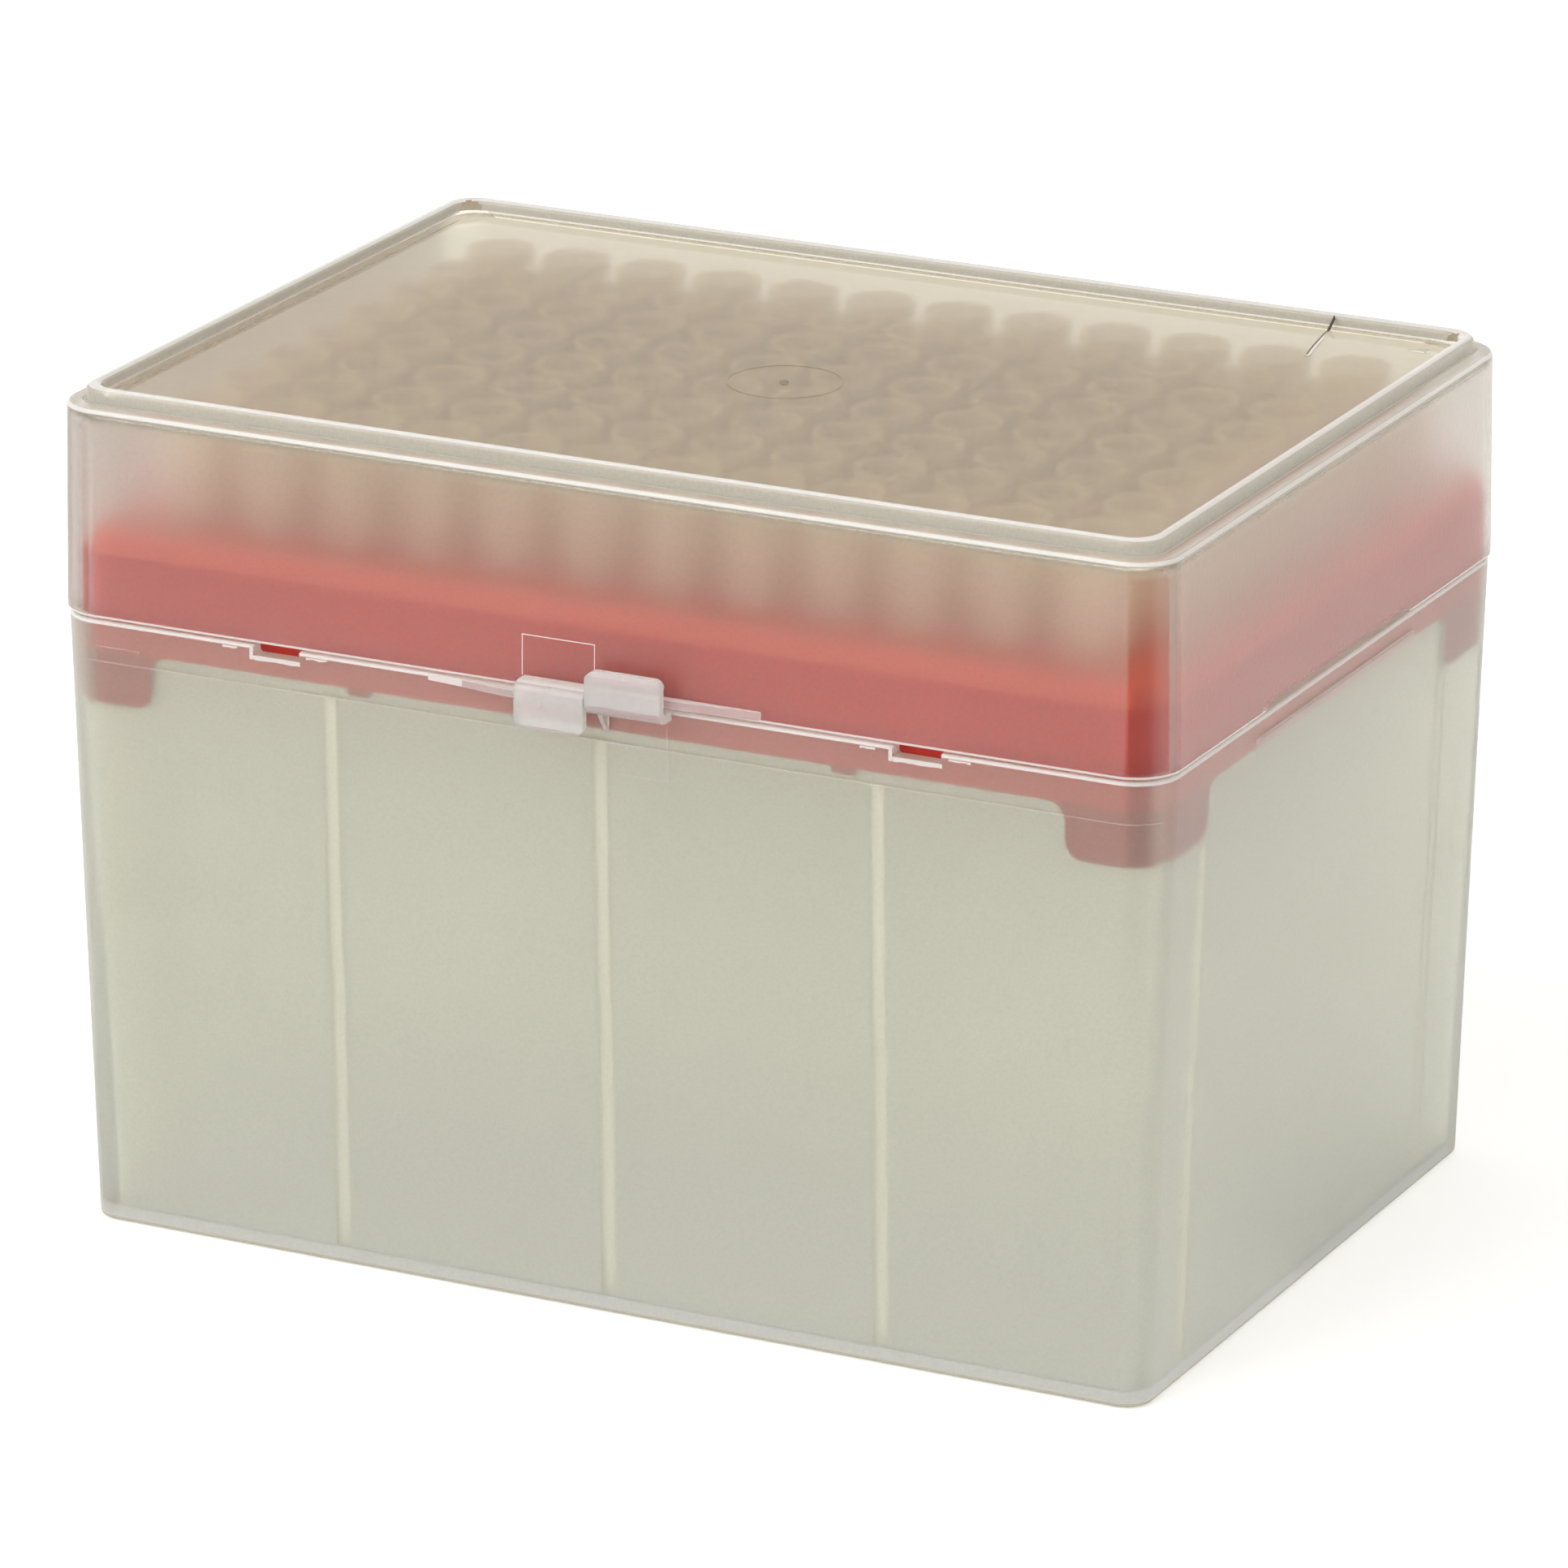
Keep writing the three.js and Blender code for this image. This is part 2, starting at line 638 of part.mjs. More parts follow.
function legArches() {
  const alongY = prism("y", archShape(RACK_HALF_X - LEG_SPAN_X), -LID_HALF_Y, LID_HALF_Y);
  const alongX = prism("x", archShape(RACK_HALF_Y - LEG_SPAN_Y), -LID_HALF_X, LID_HALF_X);
  return alongY.add(alongX);
}

// Small feet under the long skirts, which stand on the tub's ledge.
function rackFeet() {
  const bottom = SKIRT_BOTTOM - FOOT_DROP;
  const top = SKIRT_BOTTOM + FOOT_DROP;
  const outer = LID_HALF_Y - rackInset(bottom);
  const across = block(-FOOT_WIDTH / 2, FOOT_WIDTH / 2, -outer, outer, bottom, top);
  const between = block(-FOOT_WIDTH, FOOT_WIDTH, RACK_WALL - outer, outer - RACK_WALL, bottom - 1, top + 1);
  const pair = across.subtract(between);
  return pair.translate([-FOOT_OFFSET, 0, 0]).add(pair.translate([FOOT_OFFSET, 0, 0]));
}

// The middle of the deck, which carries the inner tips, between two heights and grown by an amount.
function deckMiddle(grow, bottom, top) {
  const halfX = ((COLUMNS - 2) * PITCH) / 2 + grow;
  const halfY = ((ROWS - 2) * PITCH) / 2 + grow;
  return block(-halfX, halfX, -halfY, halfY, bottom, top);
}

// The rack's frame: skirts, legs and the deck's border, with a hole for each tip of the outer ring.
function makeRack(places) {
  const middle = DECK_TOP - DECK_THICKNESS / 2;
  const radius = TIP_NECK_RADIUS + TIP_HOLE_GAP;
  const geometry = new THREE.CylinderGeometry(radius, radius, DECK_THICKNESS * 2, TIP_SIDES);
  geometry.rotateX(Math.PI / 2);
  geometry.rotateZ(Math.PI / TIP_SIDES);
  const hole = solidFrom(geometry);
  let rack = rackShell().subtract(legArches()).add(rackFeet());
  rack = rack.subtract(deckMiddle(SEAT_GAP / 2, DECK_TOP - 2 * DECK_THICKNESS, DECK_TOP + 1));
  for (const { x, y, outer } of places) {
    if (outer) rack = rack.subtract(hole.translate([x, y, middle]));
  }
  return rack;
}

// The middle of the rack's deck, with the tips of the inner rows moulded on.
function makeRackDeck(places) {
  const innerTip = tipSolid(DECK_TOP - DECK_THICKNESS / 2, FUSED_TIP_SIDES);
  let deck = deckMiddle(-SEAT_GAP / 2, DECK_TOP - DECK_THICKNESS, DECK_TOP);
  for (const { x, y, outer } of places) {
    if (!outer) deck = deck.add(innerTip.translate([x, y, 0]));
  }
  return deck;
}

// ---------- Assembly ----------

function addMesh(group, name, geometry, material) {
  const mesh = new THREE.Mesh(geometry, material);
  mesh.name = name;
  group.add(mesh);
  return mesh;
}

const places = tipPlaces();
const box = new THREE.Group();
addMesh(box, "tub", geometryFrom(makeTub()), frostedTub());
addMesh(box, "lid", geometryFrom(makeLid()), frostedLid());
addMesh(box, "rack", geometryFrom(makeRack(places)), redRack());
addMesh(box, "rack_deck", geometryFrom(makeRackDeck(places)), redRack());

const outerTip = geometryFrom(tipSolid(DECK_TOP + SEAT_GAP, TIP_SIDES));
for (const place of places) {
  if (place.outer) {
    addMesh(box, place.name, outerTip, clearTip()).position.set(place.x, place.y, 0);
  }
}

export default box;
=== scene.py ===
import json
import math

import bmesh
import bpy
from mathutils import Matrix, Vector


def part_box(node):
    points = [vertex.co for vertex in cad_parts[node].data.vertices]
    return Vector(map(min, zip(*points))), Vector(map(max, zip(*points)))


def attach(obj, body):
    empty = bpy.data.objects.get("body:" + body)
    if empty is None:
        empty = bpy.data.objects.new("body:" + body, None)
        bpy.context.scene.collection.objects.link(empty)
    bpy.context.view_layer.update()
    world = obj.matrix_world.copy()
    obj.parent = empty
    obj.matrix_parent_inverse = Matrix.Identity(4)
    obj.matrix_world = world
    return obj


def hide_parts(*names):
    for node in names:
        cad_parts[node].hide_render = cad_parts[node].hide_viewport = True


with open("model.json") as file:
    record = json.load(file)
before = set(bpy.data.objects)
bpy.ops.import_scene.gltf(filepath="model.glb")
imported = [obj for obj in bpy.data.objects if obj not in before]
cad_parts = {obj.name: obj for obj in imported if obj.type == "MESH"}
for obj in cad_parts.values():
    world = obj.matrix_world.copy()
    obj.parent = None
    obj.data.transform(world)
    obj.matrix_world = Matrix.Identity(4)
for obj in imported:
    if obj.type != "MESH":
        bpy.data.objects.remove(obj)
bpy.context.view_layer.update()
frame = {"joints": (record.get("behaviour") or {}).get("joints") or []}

# The looks of a hinged box of pipette tips: frosted tub and lid, red rack, 96 filter tips.
# Shapes are drawn in millimetres and scaled to metres when a piece is finished.
# The latch faces -Y, the hinge is at +Y, and the box stands on z = 0.
MM = 0.001

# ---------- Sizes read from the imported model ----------


def corners_mm(node):
    low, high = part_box(node)
    return low / MM, high / MM


_, LID_HIGH = corners_mm("lid")
_, RACK_HIGH = corners_mm("rack")
TIP_LOW, TIP_HIGH = corners_mm("tip_a01")
NEXT_TIP_LOW, _ = corners_mm("tip_a02")
HINGE = Vector(frame["joints"][0]["pos_m"]) / MM

COLUMNS = 12
ROWS = 8
PITCH = NEXT_TIP_LOW.x - TIP_LOW.x
HALF_X = LID_HIGH.x
HALF_Y = RACK_HIGH.y + LID_HIGH.x - RACK_HIGH.x
SEAM = HINGE.z
RIM_TOP = LID_HIGH.z
TIP_TOP = TIP_HIGH.z
TIP_END = TIP_LOW.z

# ---------- Sizes that several pieces share ----------

CORNER_RADIUS = 5.0
LEAST_RADIUS = 1.0
CORNER_STEPS = 14
EDGE_ROUND = 0.35
SEAT_GAP = 0.3
RIM = SEAM - SEAT_GAP
DECK_TOP = TIP_TOP - 11.0
SKIRT_BOTTOM = SEAM - 3.7
LEG_BOTTOM = SEAM - 9.6
LEDGE = SKIRT_BOTTOM - 1.1
LID_DRAFT = 0.016
TUB_DRAFT = 0.0274

# ---------- Sizes of the tub ----------

TUB_WALL = 1.45
LID_OVERHANG = 0.25
FLOOR = 1.0
FLOOR_FILLET = 0.6
PLINTH = 0.12
PLINTH_SETBACK = 0.7
BOTTOM_ROUND = 0.45
FOOT_TOP = 1.9
LEDGE_WIDTH = 0.7
LEDGE_LINE = LEDGE + 0.2
STEP_HEIGHT = 33.0
STEP_WIDTH = 0.4
STEP_RISE = 0.4
RIB_SPACING = 30.5
RIB_OFFSET = 30.0
RIB_HALF = 0.85
RIB_PROUD = 0.7
RIB_ROOT = 0.7

# ---------- Sizes of the lid ----------

LID_WALL = 1.3
PANEL_TOP = RIM_TOP - 1.3
PANEL_UNDERSIDE = PANEL_TOP - 1.4
LID_LEDGE = PANEL_TOP - 0.3
SHOULDER = 0.55
RIM_OUTSIDE = LID_DRAFT * (LID_LEDGE - SEAM) + 1.8
RIM_INSIDE = RIM_OUTSIDE + 1.6
RIM_RADIUS = 2.9
CREST_RADIUS = 0.65

# ---------- Sizes of the rack ----------

RACK_INSET = LID_HIGH.x - RACK_HIGH.x
RACK_WALL = 1.4
RACK_SLOPE = 2.5
DECK_THICKNESS = 1.6

# ---------- Mesh tools, in millimetres ----------


def mesh_object(name, points, faces):
    mesh = bpy.data.meshes.new(name)
    mesh.from_pydata([tuple(p) for p in points], [], faces)
    mesh.update()
    piece = bpy.data.objects.new(name, mesh)
    bpy.context.scene.collection.objects.link(piece)
    return piece


def outline(inset, height, least=LEAST_RADIUS):
    """The box's rounded outline at a height, moved in from the lid's lower edge."""
    radius = max(CORNER_RADIUS - inset, least)
    points = []
    for corner in range(4):
        sign_x = 1 if corner in (0, 3) else -1
        sign_y = 1 if corner < 2 else -1
        centre_x = sign_x * (HALF_X - inset - radius)
        centre_y = sign_y * (HALF_Y - inset - radius)
        for step in range(CORNER_STEPS + 1):
            angle = (corner + step / CORNER_STEPS) * math.pi / 2
            points.append((centre_x + radius * math.cos(angle), centre_y + radius * math.sin(angle), height))
    return points


def stacked(rings):
    """A closed solid through rings of the same number of points, anticlockwise from the end."""
    count = len(rings[0])
    points = [p for ring in rings for p in ring]
    last = (len(rings) - 1) * count
    faces = [tuple(range(count))[::-1], tuple(last + i for i in range(count))]
    for k in range(len(rings) - 1):
        for i in range(count):
            j = (i + 1) % count
            low, high = k * count, (k + 1) * count
            faces.append((low + i, low + j, high + j, high + i))
    return points, faces


def loft(levels):
    """A closed solid through outlines given as (height, inset) or (height, inset, least corner radius)."""
    return mesh_object("loft", *stacked([outline(inset, height, *least) for height, inset, *least in levels]))


def depth(point):
    """How far a point lies inside the lid's lower outline, seen from above."""
    across = abs(point.x) - (HALF_X - CORNER_RADIUS)
    along = abs(point.y) - (HALF_Y - CORNER_RADIUS)
    beyond = math.hypot(max(across, 0.0), max(along, 0.0))
    return CORNER_RADIUS - beyond - min(max(across, along), 0.0)


def arc(centre, radius, start, end, steps):
    """Points of an arc in a plane, angles in degrees."""
    points = []
    for step in range(steps + 1):
        angle = math.radians(start + (end - start) * step / steps)
        points.append((centre[0] + radius * math.cos(angle), centre[1] + radius * math.sin(angle)))
    return points


def area(section):
    """The area inside a plane outline, positive when it runs anticlockwise."""
    total = 0.0
    for (ax, ay), (bx, by) in zip(section, section[1:] + section[:1]):
        total += ax * by - bx * ay
    return total / 2


def prism(section, axis, start, end):
    """A solid of one section along an axis. The section is (y, z), (z, x) or (x, y) for axis 0, 1 or 2."""
    if area(section) < 0:
        section = section[::-1]
    rings = []
    for along in (start, end):
        rings.append([((along, a, b), (b, along, a), (a, b, along))[axis] for a, b in section])
    return mesh_object("prism", *stacked(rings))


def block(x0, x1, y0, y1, z0, z1):
    return prism([(x0, y0), (x1, y0), (x1, y1), (x0, y1)], 2, z0, z1)


def lathe(profile, segments):
    """A solid turned about Z from a profile of (radius, height) that starts and ends on the axis."""
    inner = profile[1:-1]
    points = [(0, 0, profile[0][1]), (0, 0, profile[-1][1])]
    for radius, height in inner:
        for i in range(segments):
            angle = 2 * math.pi * i / segments
            points.append((radius * math.cos(angle), radius * math.sin(angle), height))
    faces = []
    last = 2 + (len(inner) - 1) * segments
    for i in range(segments):
        j = (i + 1) % segments
        faces.append((0, 2 + j, 2 + i))
        faces.append((1, last + i, last + j))
        for k in range(len(inner) - 1):
            low, high = 2 + k * segments, 2 + (k + 1) * segments
            faces.append((low + i, low + j, high + j, high + i))
    return mesh_object("lathe", points, faces)


def closed_tube(rings):
    """A closed ring of rings of points, each with the same number, as a solid with a hole through it."""
    count = len(rings[0])
    points = [p for ring in rings for p in ring]
    faces = []
    for k in range(len(rings)):
        low, high = k * count, ((k + 1) % len(rings)) * count
        for i in range(count):
            j = (i + 1) % count
            faces.append((low + i, low + j, high + j, high + i))
    return mesh_object("tube", points, faces)


def apply_modifiers(piece):
    graph = bpy.context.evaluated_depsgraph_get()
    graph.update()
    before = piece.data
    mesh = bpy.data.meshes.new_from_object(piece.evaluated_get(graph))
    piece.modifiers.clear()
    piece.data = mesh
    bpy.data.meshes.remove(before)
    return piece


def bevelled(piece, width, segments=3, angle=30):
    bevel = piece.modifiers.new("bevel", "BEVEL")
    bevel.width = width
    bevel.segments = segments
    bevel.limit_method = "ANGLE"
    bevel.angle_limit = math.radians(angle)
    bevel.use_clamp_overlap = True
    return apply_modifiers(piece)


def combine(piece, other, operation):
    boolean = piece.modifiers.new("boolean", "BOOLEAN")
    boolean.operation = operation
    boolean.solver = "MANIFOLD"
    boolean.object = other
    apply_modifiers(piece)
    bpy.data.objects.remove(other)
    return piece


def joined(pieces):
    """Several pieces that don't overlap, as one object."""
    first, *others = pieces
    merged = bmesh.new()
    for piece in pieces:
        merged.from_mesh(piece.data)
    merged.to_mesh(first.data)
    merged.free()
    for piece in others:
        bpy.data.objects.remove(piece)
    return first


def add(piece, *others):
    for other in others:
        combine(piece, other, "UNION")
    return piece


def cut(piece, *others):
    for other in others:
        combine(piece, other, "DIFFERENCE")
    return piece


def keep(piece, other):
    return combine(piece, other, "INTERSECT")


def copy_at(piece, places):
    """Copies of a piece at several places, as one object."""
    merged = bmesh.new()
    for place in places:
        part = piece.data.copy()
        part.transform(Matrix.Translation(place))
        merged.from_mesh(part)
        bpy.data.meshes.remove(part)
    merged.to_mesh(piece.data)
    merged.free()
    return piece


SHARP_ANGLE = 32


def finished(piece, name, materials, pick=None):
    """Scales a piece to metres and smooths it between its edges. Pick gives each face's material."""
    mesh = piece.data
    mesh.materials.clear()
    for material in materials:
        mesh.materials.append(material)
    slots = {material.name: index for index, material in enumerate(materials)}
    work = bmesh.new()
    work.from_mesh(mesh)
    bmesh.ops.dissolve_degenerate(work, dist=1e-5, edges=work.edges)
    work.normal_update()
    for face in work.faces:
        face.smooth = True
        face.material_index = slots[pick(face.calc_center_median(), face.normal).name] if pick else 0
    limit = math.radians(SHARP_ANGLE)
    for edge in work.edges:
        edge.smooth = len(edge.link_faces) == 2 and edge.calc_face_angle(0) < limit
    work.to_mesh(mesh)
    work.free()
    mesh.transform(Matrix.Scale(MM, 4))
    weighted = piece.modifiers.new("normals", "WEIGHTED_NORMAL")
    weighted.keep_sharp = True
    weighted.weight = 50
    apply_modifiers(piece)
    piece.name = name
    piece.data.name = name
    return piece


# ---------- Materials ----------


def node(tree, kind, **inputs):
    made = tree.nodes.new(kind)
    for name, value in inputs.items():
        made.inputs[name.replace("_", " ")].default_value = value
    return made


def colour_between(tree, factor, first, second):
    mix = tree.nodes.new("ShaderNodeMix")
    mix.data_type = "RGBA"
    mix.inputs["A"].default_value = (*first, 1)
    mix.inputs["B"].default_value = (*second, 1)
    tree.links.new(factor, mix.inputs["Factor"])
    return mix.outputs["Result"]


def number_between(tree, factor, low, high):
    remap = node(tree, "ShaderNodeMapRange", To_Min=low, To_Max=high)
    tree.links.new(factor, remap.inputs["Value"])
    return remap.outputs["Result"]


def multiplied(tree, colour, factor):
    blend = tree.nodes.new("ShaderNodeMix")
    blend.data_type = "RGBA"
    blend.blend_type = "MULTIPLY"
    blend.inputs["Factor"].default_value = 1.0
    tree.links.new(colour, blend.inputs["A"])
    tree.links.new(factor, blend.inputs["B"])
    return blend.outputs["Result"]


def height_blend(tree, place, levels, colours):
    """A colour that changes with height above the table, between levels in millimetres."""
    split = tree.nodes.new("ShaderNodeSeparateXYZ")
    tree.links.new(place, split.inputs[0])
    result = None
    for low, high, colour in zip(levels, levels[1:], colours[1:]):
        remap = node(tree, "ShaderNodeMapRange", From_Min=low * MM, From_Max=high * MM)
        tree.links.new(split.outputs["Z"], remap.inputs["Value"])
        mix = tree.nodes.new("ShaderNodeMix")
        mix.data_type = "RGBA"
        tree.links.new(remap.outputs["Result"], mix.inputs["Factor"])
        if result:
            tree.links.new(result, mix.inputs["A"])
        else:
            mix.inputs["A"].default_value = (*colours[0], 1)
        mix.inputs["B"].default_value = (*colour, 1)
        result = mix.outputs["Result"]
    return result


MOTTLE_SCALE = 60.0
GRAIN_DEPTH = 0.00002


def plastic(name, colours, roughness, transmission=0.0, grain=0.0, grain_scale=3000.0, speckle=0.05,
            ior=1.49, alpha=1.0, painted_light=None):
    """A moulded plastic: a soft mottle between two colours and two roughnesses, and a fine eroded grain.

    Grain is the strength of the bump and speckle that of the colour. Painted light is (heights, colours):
    light and shade painted into the colour by height."""
    material = bpy.data.materials.new(name)
    material.use_nodes = True
    tree = material.node_tree
    shader = tree.nodes["Principled BSDF"]
    shader.inputs["IOR"].default_value = ior
    shader.inputs["Transmission Weight"].default_value = transmission
    shader.inputs["Alpha"].default_value = alpha
    place = tree.nodes.new("ShaderNodeTexCoord").outputs["Object"]
    mottle = node(tree, "ShaderNodeTexNoise", Scale=MOTTLE_SCALE, Detail=1.0)
    fine = node(tree, "ShaderNodeTexNoise", Scale=grain_scale, Detail=1.0)
    for texture in (mottle, fine):
        tree.links.new(place, texture.inputs["Vector"])
    colour = colour_between(tree, mottle.outputs["Fac"], *colours)
    colour = multiplied(tree, colour, number_between(tree, fine.outputs["Fac"], 1.0 - speckle, 1.0 + speckle))
    # Light and shade painted into the colour by height.
    if painted_light:
        colour = multiplied(tree, colour, height_blend(tree, place, *painted_light))
    tree.links.new(colour, shader.inputs["Base Color"])
    tree.links.new(number_between(tree, mottle.outputs["Fac"], *roughness), shader.inputs["Roughness"])
    if grain:
        bump = node(tree, "ShaderNodeBump", Strength=grain, Distance=GRAIN_DEPTH)
        tree.links.new(fine.outputs["Fac"], bump.inputs["Height"])
        tree.links.new(bump.outputs["Normal"], shader.inputs["Normal"])
    return material


# A frosted wall has an outer and an inner surface, each with its own material. The inner one blurs more.
LID_OUTSIDE = plastic(
    "lid_outside", ((0.965, 0.93, 0.865), (0.985, 0.955, 0.89)), (0.20, 0.28),
    transmission=0.985, grain=0.6, speckle=0.10,
)
LID_INSIDE = plastic(
    "lid_inside", ((0.975, 0.97, 0.95), (0.98, 0.975, 0.955)), (0.66, 0.74),
    transmission=0.965, grain_scale=2500,
)
# The lid's rounded corners: a clearer plastic with a lower index, whose darker colour is painted shade.
LID_CORNER_SHADE = plastic(
    "lid_corner_shade", ((0.91, 0.88, 0.84), (0.94, 0.91, 0.87)), (0.22, 0.28),
    transmission=0.99, grain=0.5, ior=1.28,
)
LID_CORNER_INSIDE_SHADE = plastic(
    "lid_corner_inside_shade", ((0.965, 0.96, 0.94), (0.97, 0.965, 0.945)), (0.64, 0.72),
    transmission=0.985, grain_scale=2500, ior=1.28,
)
LID_RIM = plastic(
    "lid_rim", ((0.76, 0.74, 0.65), (0.79, 0.77, 0.685)), (0.20, 0.30),
    transmission=0.52, grain=0.6, speckle=0.12,
)
# A darker plastic for the painted shade line at the foot of the rim.
LINE_PAINTED_SHADE = plastic(
    "line_painted_shade", ((0.60, 0.57, 0.50), (0.68, 0.64, 0.56)), (0.40, 0.50),
    transmission=0.40, grain=0.4,
)

# The panel's tan colour is painted light: it stands in for the warm light of the tips and red deck seen
# through it.
PANEL_GLOSS = plastic(
    "panel_gloss", ((0.86, 0.79, 0.61), (0.885, 0.815, 0.635)), (0.06, 0.10),
    transmission=0.99, grain=0.04, grain_scale=900, ior=1.3,
)
PANEL_INSIDE = plastic(
    "panel_inside", ((0.90, 0.865, 0.755), (0.92, 0.885, 0.775)), (0.35, 0.42),
    transmission=0.98, grain_scale=2500, ior=1.3,
)
MARK_GREY = plastic(
    "mark_grey", ((0.55, 0.54, 0.48), (0.64, 0.63, 0.57)), (0.4, 0.5),
    transmission=0.5, grain=0.3,
)
HAIR_DARK = plastic(
    "hair_dark", ((0.06, 0.045, 0.035), (0.10, 0.075, 0.06)), (0.5, 0.6),
    grain=0.3, grain_scale=4000,
)

# Painted shade on the tub's outside, by height: a little darker and yellower at mid-height, lightest under
# the rim.
TUB_PAINTED_SHADE = (
    (5.0, STEP_HEIGHT, SEAM),
    ((0.93, 0.935, 0.935), (0.925, 0.925, 0.91), (0.95, 0.945, 0.925)),
)
TUB_OUTSIDE = plastic(
    "tub_outside", ((0.98, 0.985, 0.885), (0.995, 0.995, 0.905)), (0.26, 0.34),
    transmission=0.89, grain=0.6, speckle=0.10, painted_light=TUB_PAINTED_SHADE,
)
TUB_INSIDE = plastic(
    "tub_inside", ((0.99, 0.99, 0.92), (0.995, 0.995, 0.935)), (0.74, 0.82),
    transmission=0.95, grain_scale=2500,
)
TUB_FOOT = plastic(
    "tub_foot", ((0.90, 0.89, 0.79), (0.92, 0.91, 0.815)), (0.30, 0.40),
    transmission=0.72, grain=0.6, speckle=0.10,
)
# A darker tan on the tub's rounded bottom edge: painted shade.
BOTTOM_EDGE_SHADE = plastic(
    "bottom_edge_shade", ((0.66, 0.60, 0.44), (0.70, 0.64, 0.49)), (0.35, 0.45),
    transmission=0.50, grain=0.4,
)
RIB_EDGE = plastic(
    "rib_edge", ((0.985, 0.965, 0.875), (0.995, 0.975, 0.895)), (0.50, 0.60),
    transmission=0.15, grain_scale=2500,
)
# A whiter plastic that paints highlights on the thin lines, flash and ledges proud of the tub's wall.
LINE_PAINTED_HIGHLIGHT = plastic(
    "line_painted_highlight", ((0.97, 0.95, 0.91), (0.98, 0.965, 0.93)), (0.25, 0.35),
    transmission=0.74, grain=0.3,
)
# A whiter, less clear plastic that paints highlights on edges: the crest, the shoulder, the latch, proud
# faces and the lower edges.
EDGE_PAINTED_HIGHLIGHT = plastic(
    "edge_painted_highlight", ((0.95, 0.93, 0.90), (0.975, 0.96, 0.94)), (0.18, 0.30),
    transmission=0.30, grain=0.5, grain_scale=4000,
)
LATCH_CLEAR = plastic(
    "latch_clear", ((0.97, 0.955, 0.945), (0.985, 0.97, 0.96)), (0.20, 0.30),
    transmission=0.66, grain=0.15, grain_scale=1500,
)

# The rack's colour has painted shade below the ledge and a painted highlight on its rounded upper edge.
SLOPE_FOOT = DECK_TOP - RACK_SLOPE
RACK_PAINTED_LIGHT = (
    (SKIRT_BOTTOM - 0.2, SKIRT_BOTTOM + 0.2, SLOPE_FOOT - 0.1, SLOPE_FOOT + 0.4),
    ((0.66, 0.66, 0.66), (1.0, 1.0, 1.0), (1.0, 1.0, 1.0), (1.20, 3.6, 2.7)),
)
RED = plastic(
    "rack_red", ((0.53, 0.016, 0.008), (0.59, 0.021, 0.010)), (0.38, 0.50),
    grain=0.15, grain_scale=2500, painted_light=RACK_PAINTED_LIGHT,
)
# A darker copy of the red: painted shade for the rack's rounded corners.
RED_CORNER_SHADE = plastic(
    "rack_red_corner_shade", ((0.37, 0.010, 0.006), (0.42, 0.014, 0.008)), (0.38, 0.50),
    grain=0.15, grain_scale=2500, painted_light=RACK_PAINTED_LIGHT,
)

# The tips are partly see-through, so that the frosted walls in front of them stay bright.
# Painted light on the tips by height: a red-tan glow near the deck, as light from the red deck, and a tan
# above it.
TIP_PAINTED_DECK_GLOW = (
    (SEAM, DECK_TOP, DECK_TOP + 6, TIP_TOP),
    ((1.0, 1.0, 1.0), (1.0, 0.69, 0.57), (1.0, 0.83, 0.69), (1.0, 0.87, 0.70)),
)
TIP_CLEAR = plastic(
    "tip_clear", ((0.975, 0.97, 0.94), (0.985, 0.98, 0.955)), (0.25, 0.35),
    transmission=0.10, grain_scale=1500, ior=1.35, alpha=0.42, painted_light=TIP_PAINTED_DECK_GLOW,
)
TIP_SHAFT = plastic(
    "tip_shaft", ((0.95, 0.95, 0.90), (0.97, 0.97, 0.92)), (0.35, 0.45),
    grain_scale=1500, ior=1.2, alpha=0.07,
)
FILTER_WHITE = plastic(
    "filter_white", ((0.78, 0.76, 0.70), (0.84, 0.82, 0.77)), (0.85, 0.95),
    grain=0.6, grain_scale=5000,
)

# ---------- Tub ----------


def tub_inset(height):
    return LID_OVERHANG + TUB_DRAFT * (RIM - height)


def rounded_corner(height, inset, radius, start, end, steps=5):
    """Levels of a rounded edge. The centre is (height, inset); angles turn from up to outward."""
    levels = []
    for step in range(steps + 1):
        angle = math.radians(start + (end - start) * step / steps)
        levels.append((height + radius * math.sin(angle), inset - radius * math.cos(angle)))
    return levels


def tub_outer():
    """The tub's outside: a low plinth, a rounded bottom edge, drafted walls and a rounded rim."""
    setback = tub_inset(0) + PLINTH_SETBACK + BOTTOM_ROUND
    plinth = [(0, setback + 0.05), (0.04, setback), (PLINTH, setback)]
    bottom = rounded_corner(PLINTH + BOTTOM_ROUND, tub_inset(0) + BOTTOM_ROUND, BOTTOM_ROUND, -90, 0, 6)
    foot = [(FOOT_TOP, tub_inset(FOOT_TOP))]
    top = rounded_corner(RIM - EDGE_ROUND, tub_inset(RIM) + EDGE_ROUND, EDGE_ROUND, 0, 90, 5)
    return loft(plinth + bottom + foot + top)


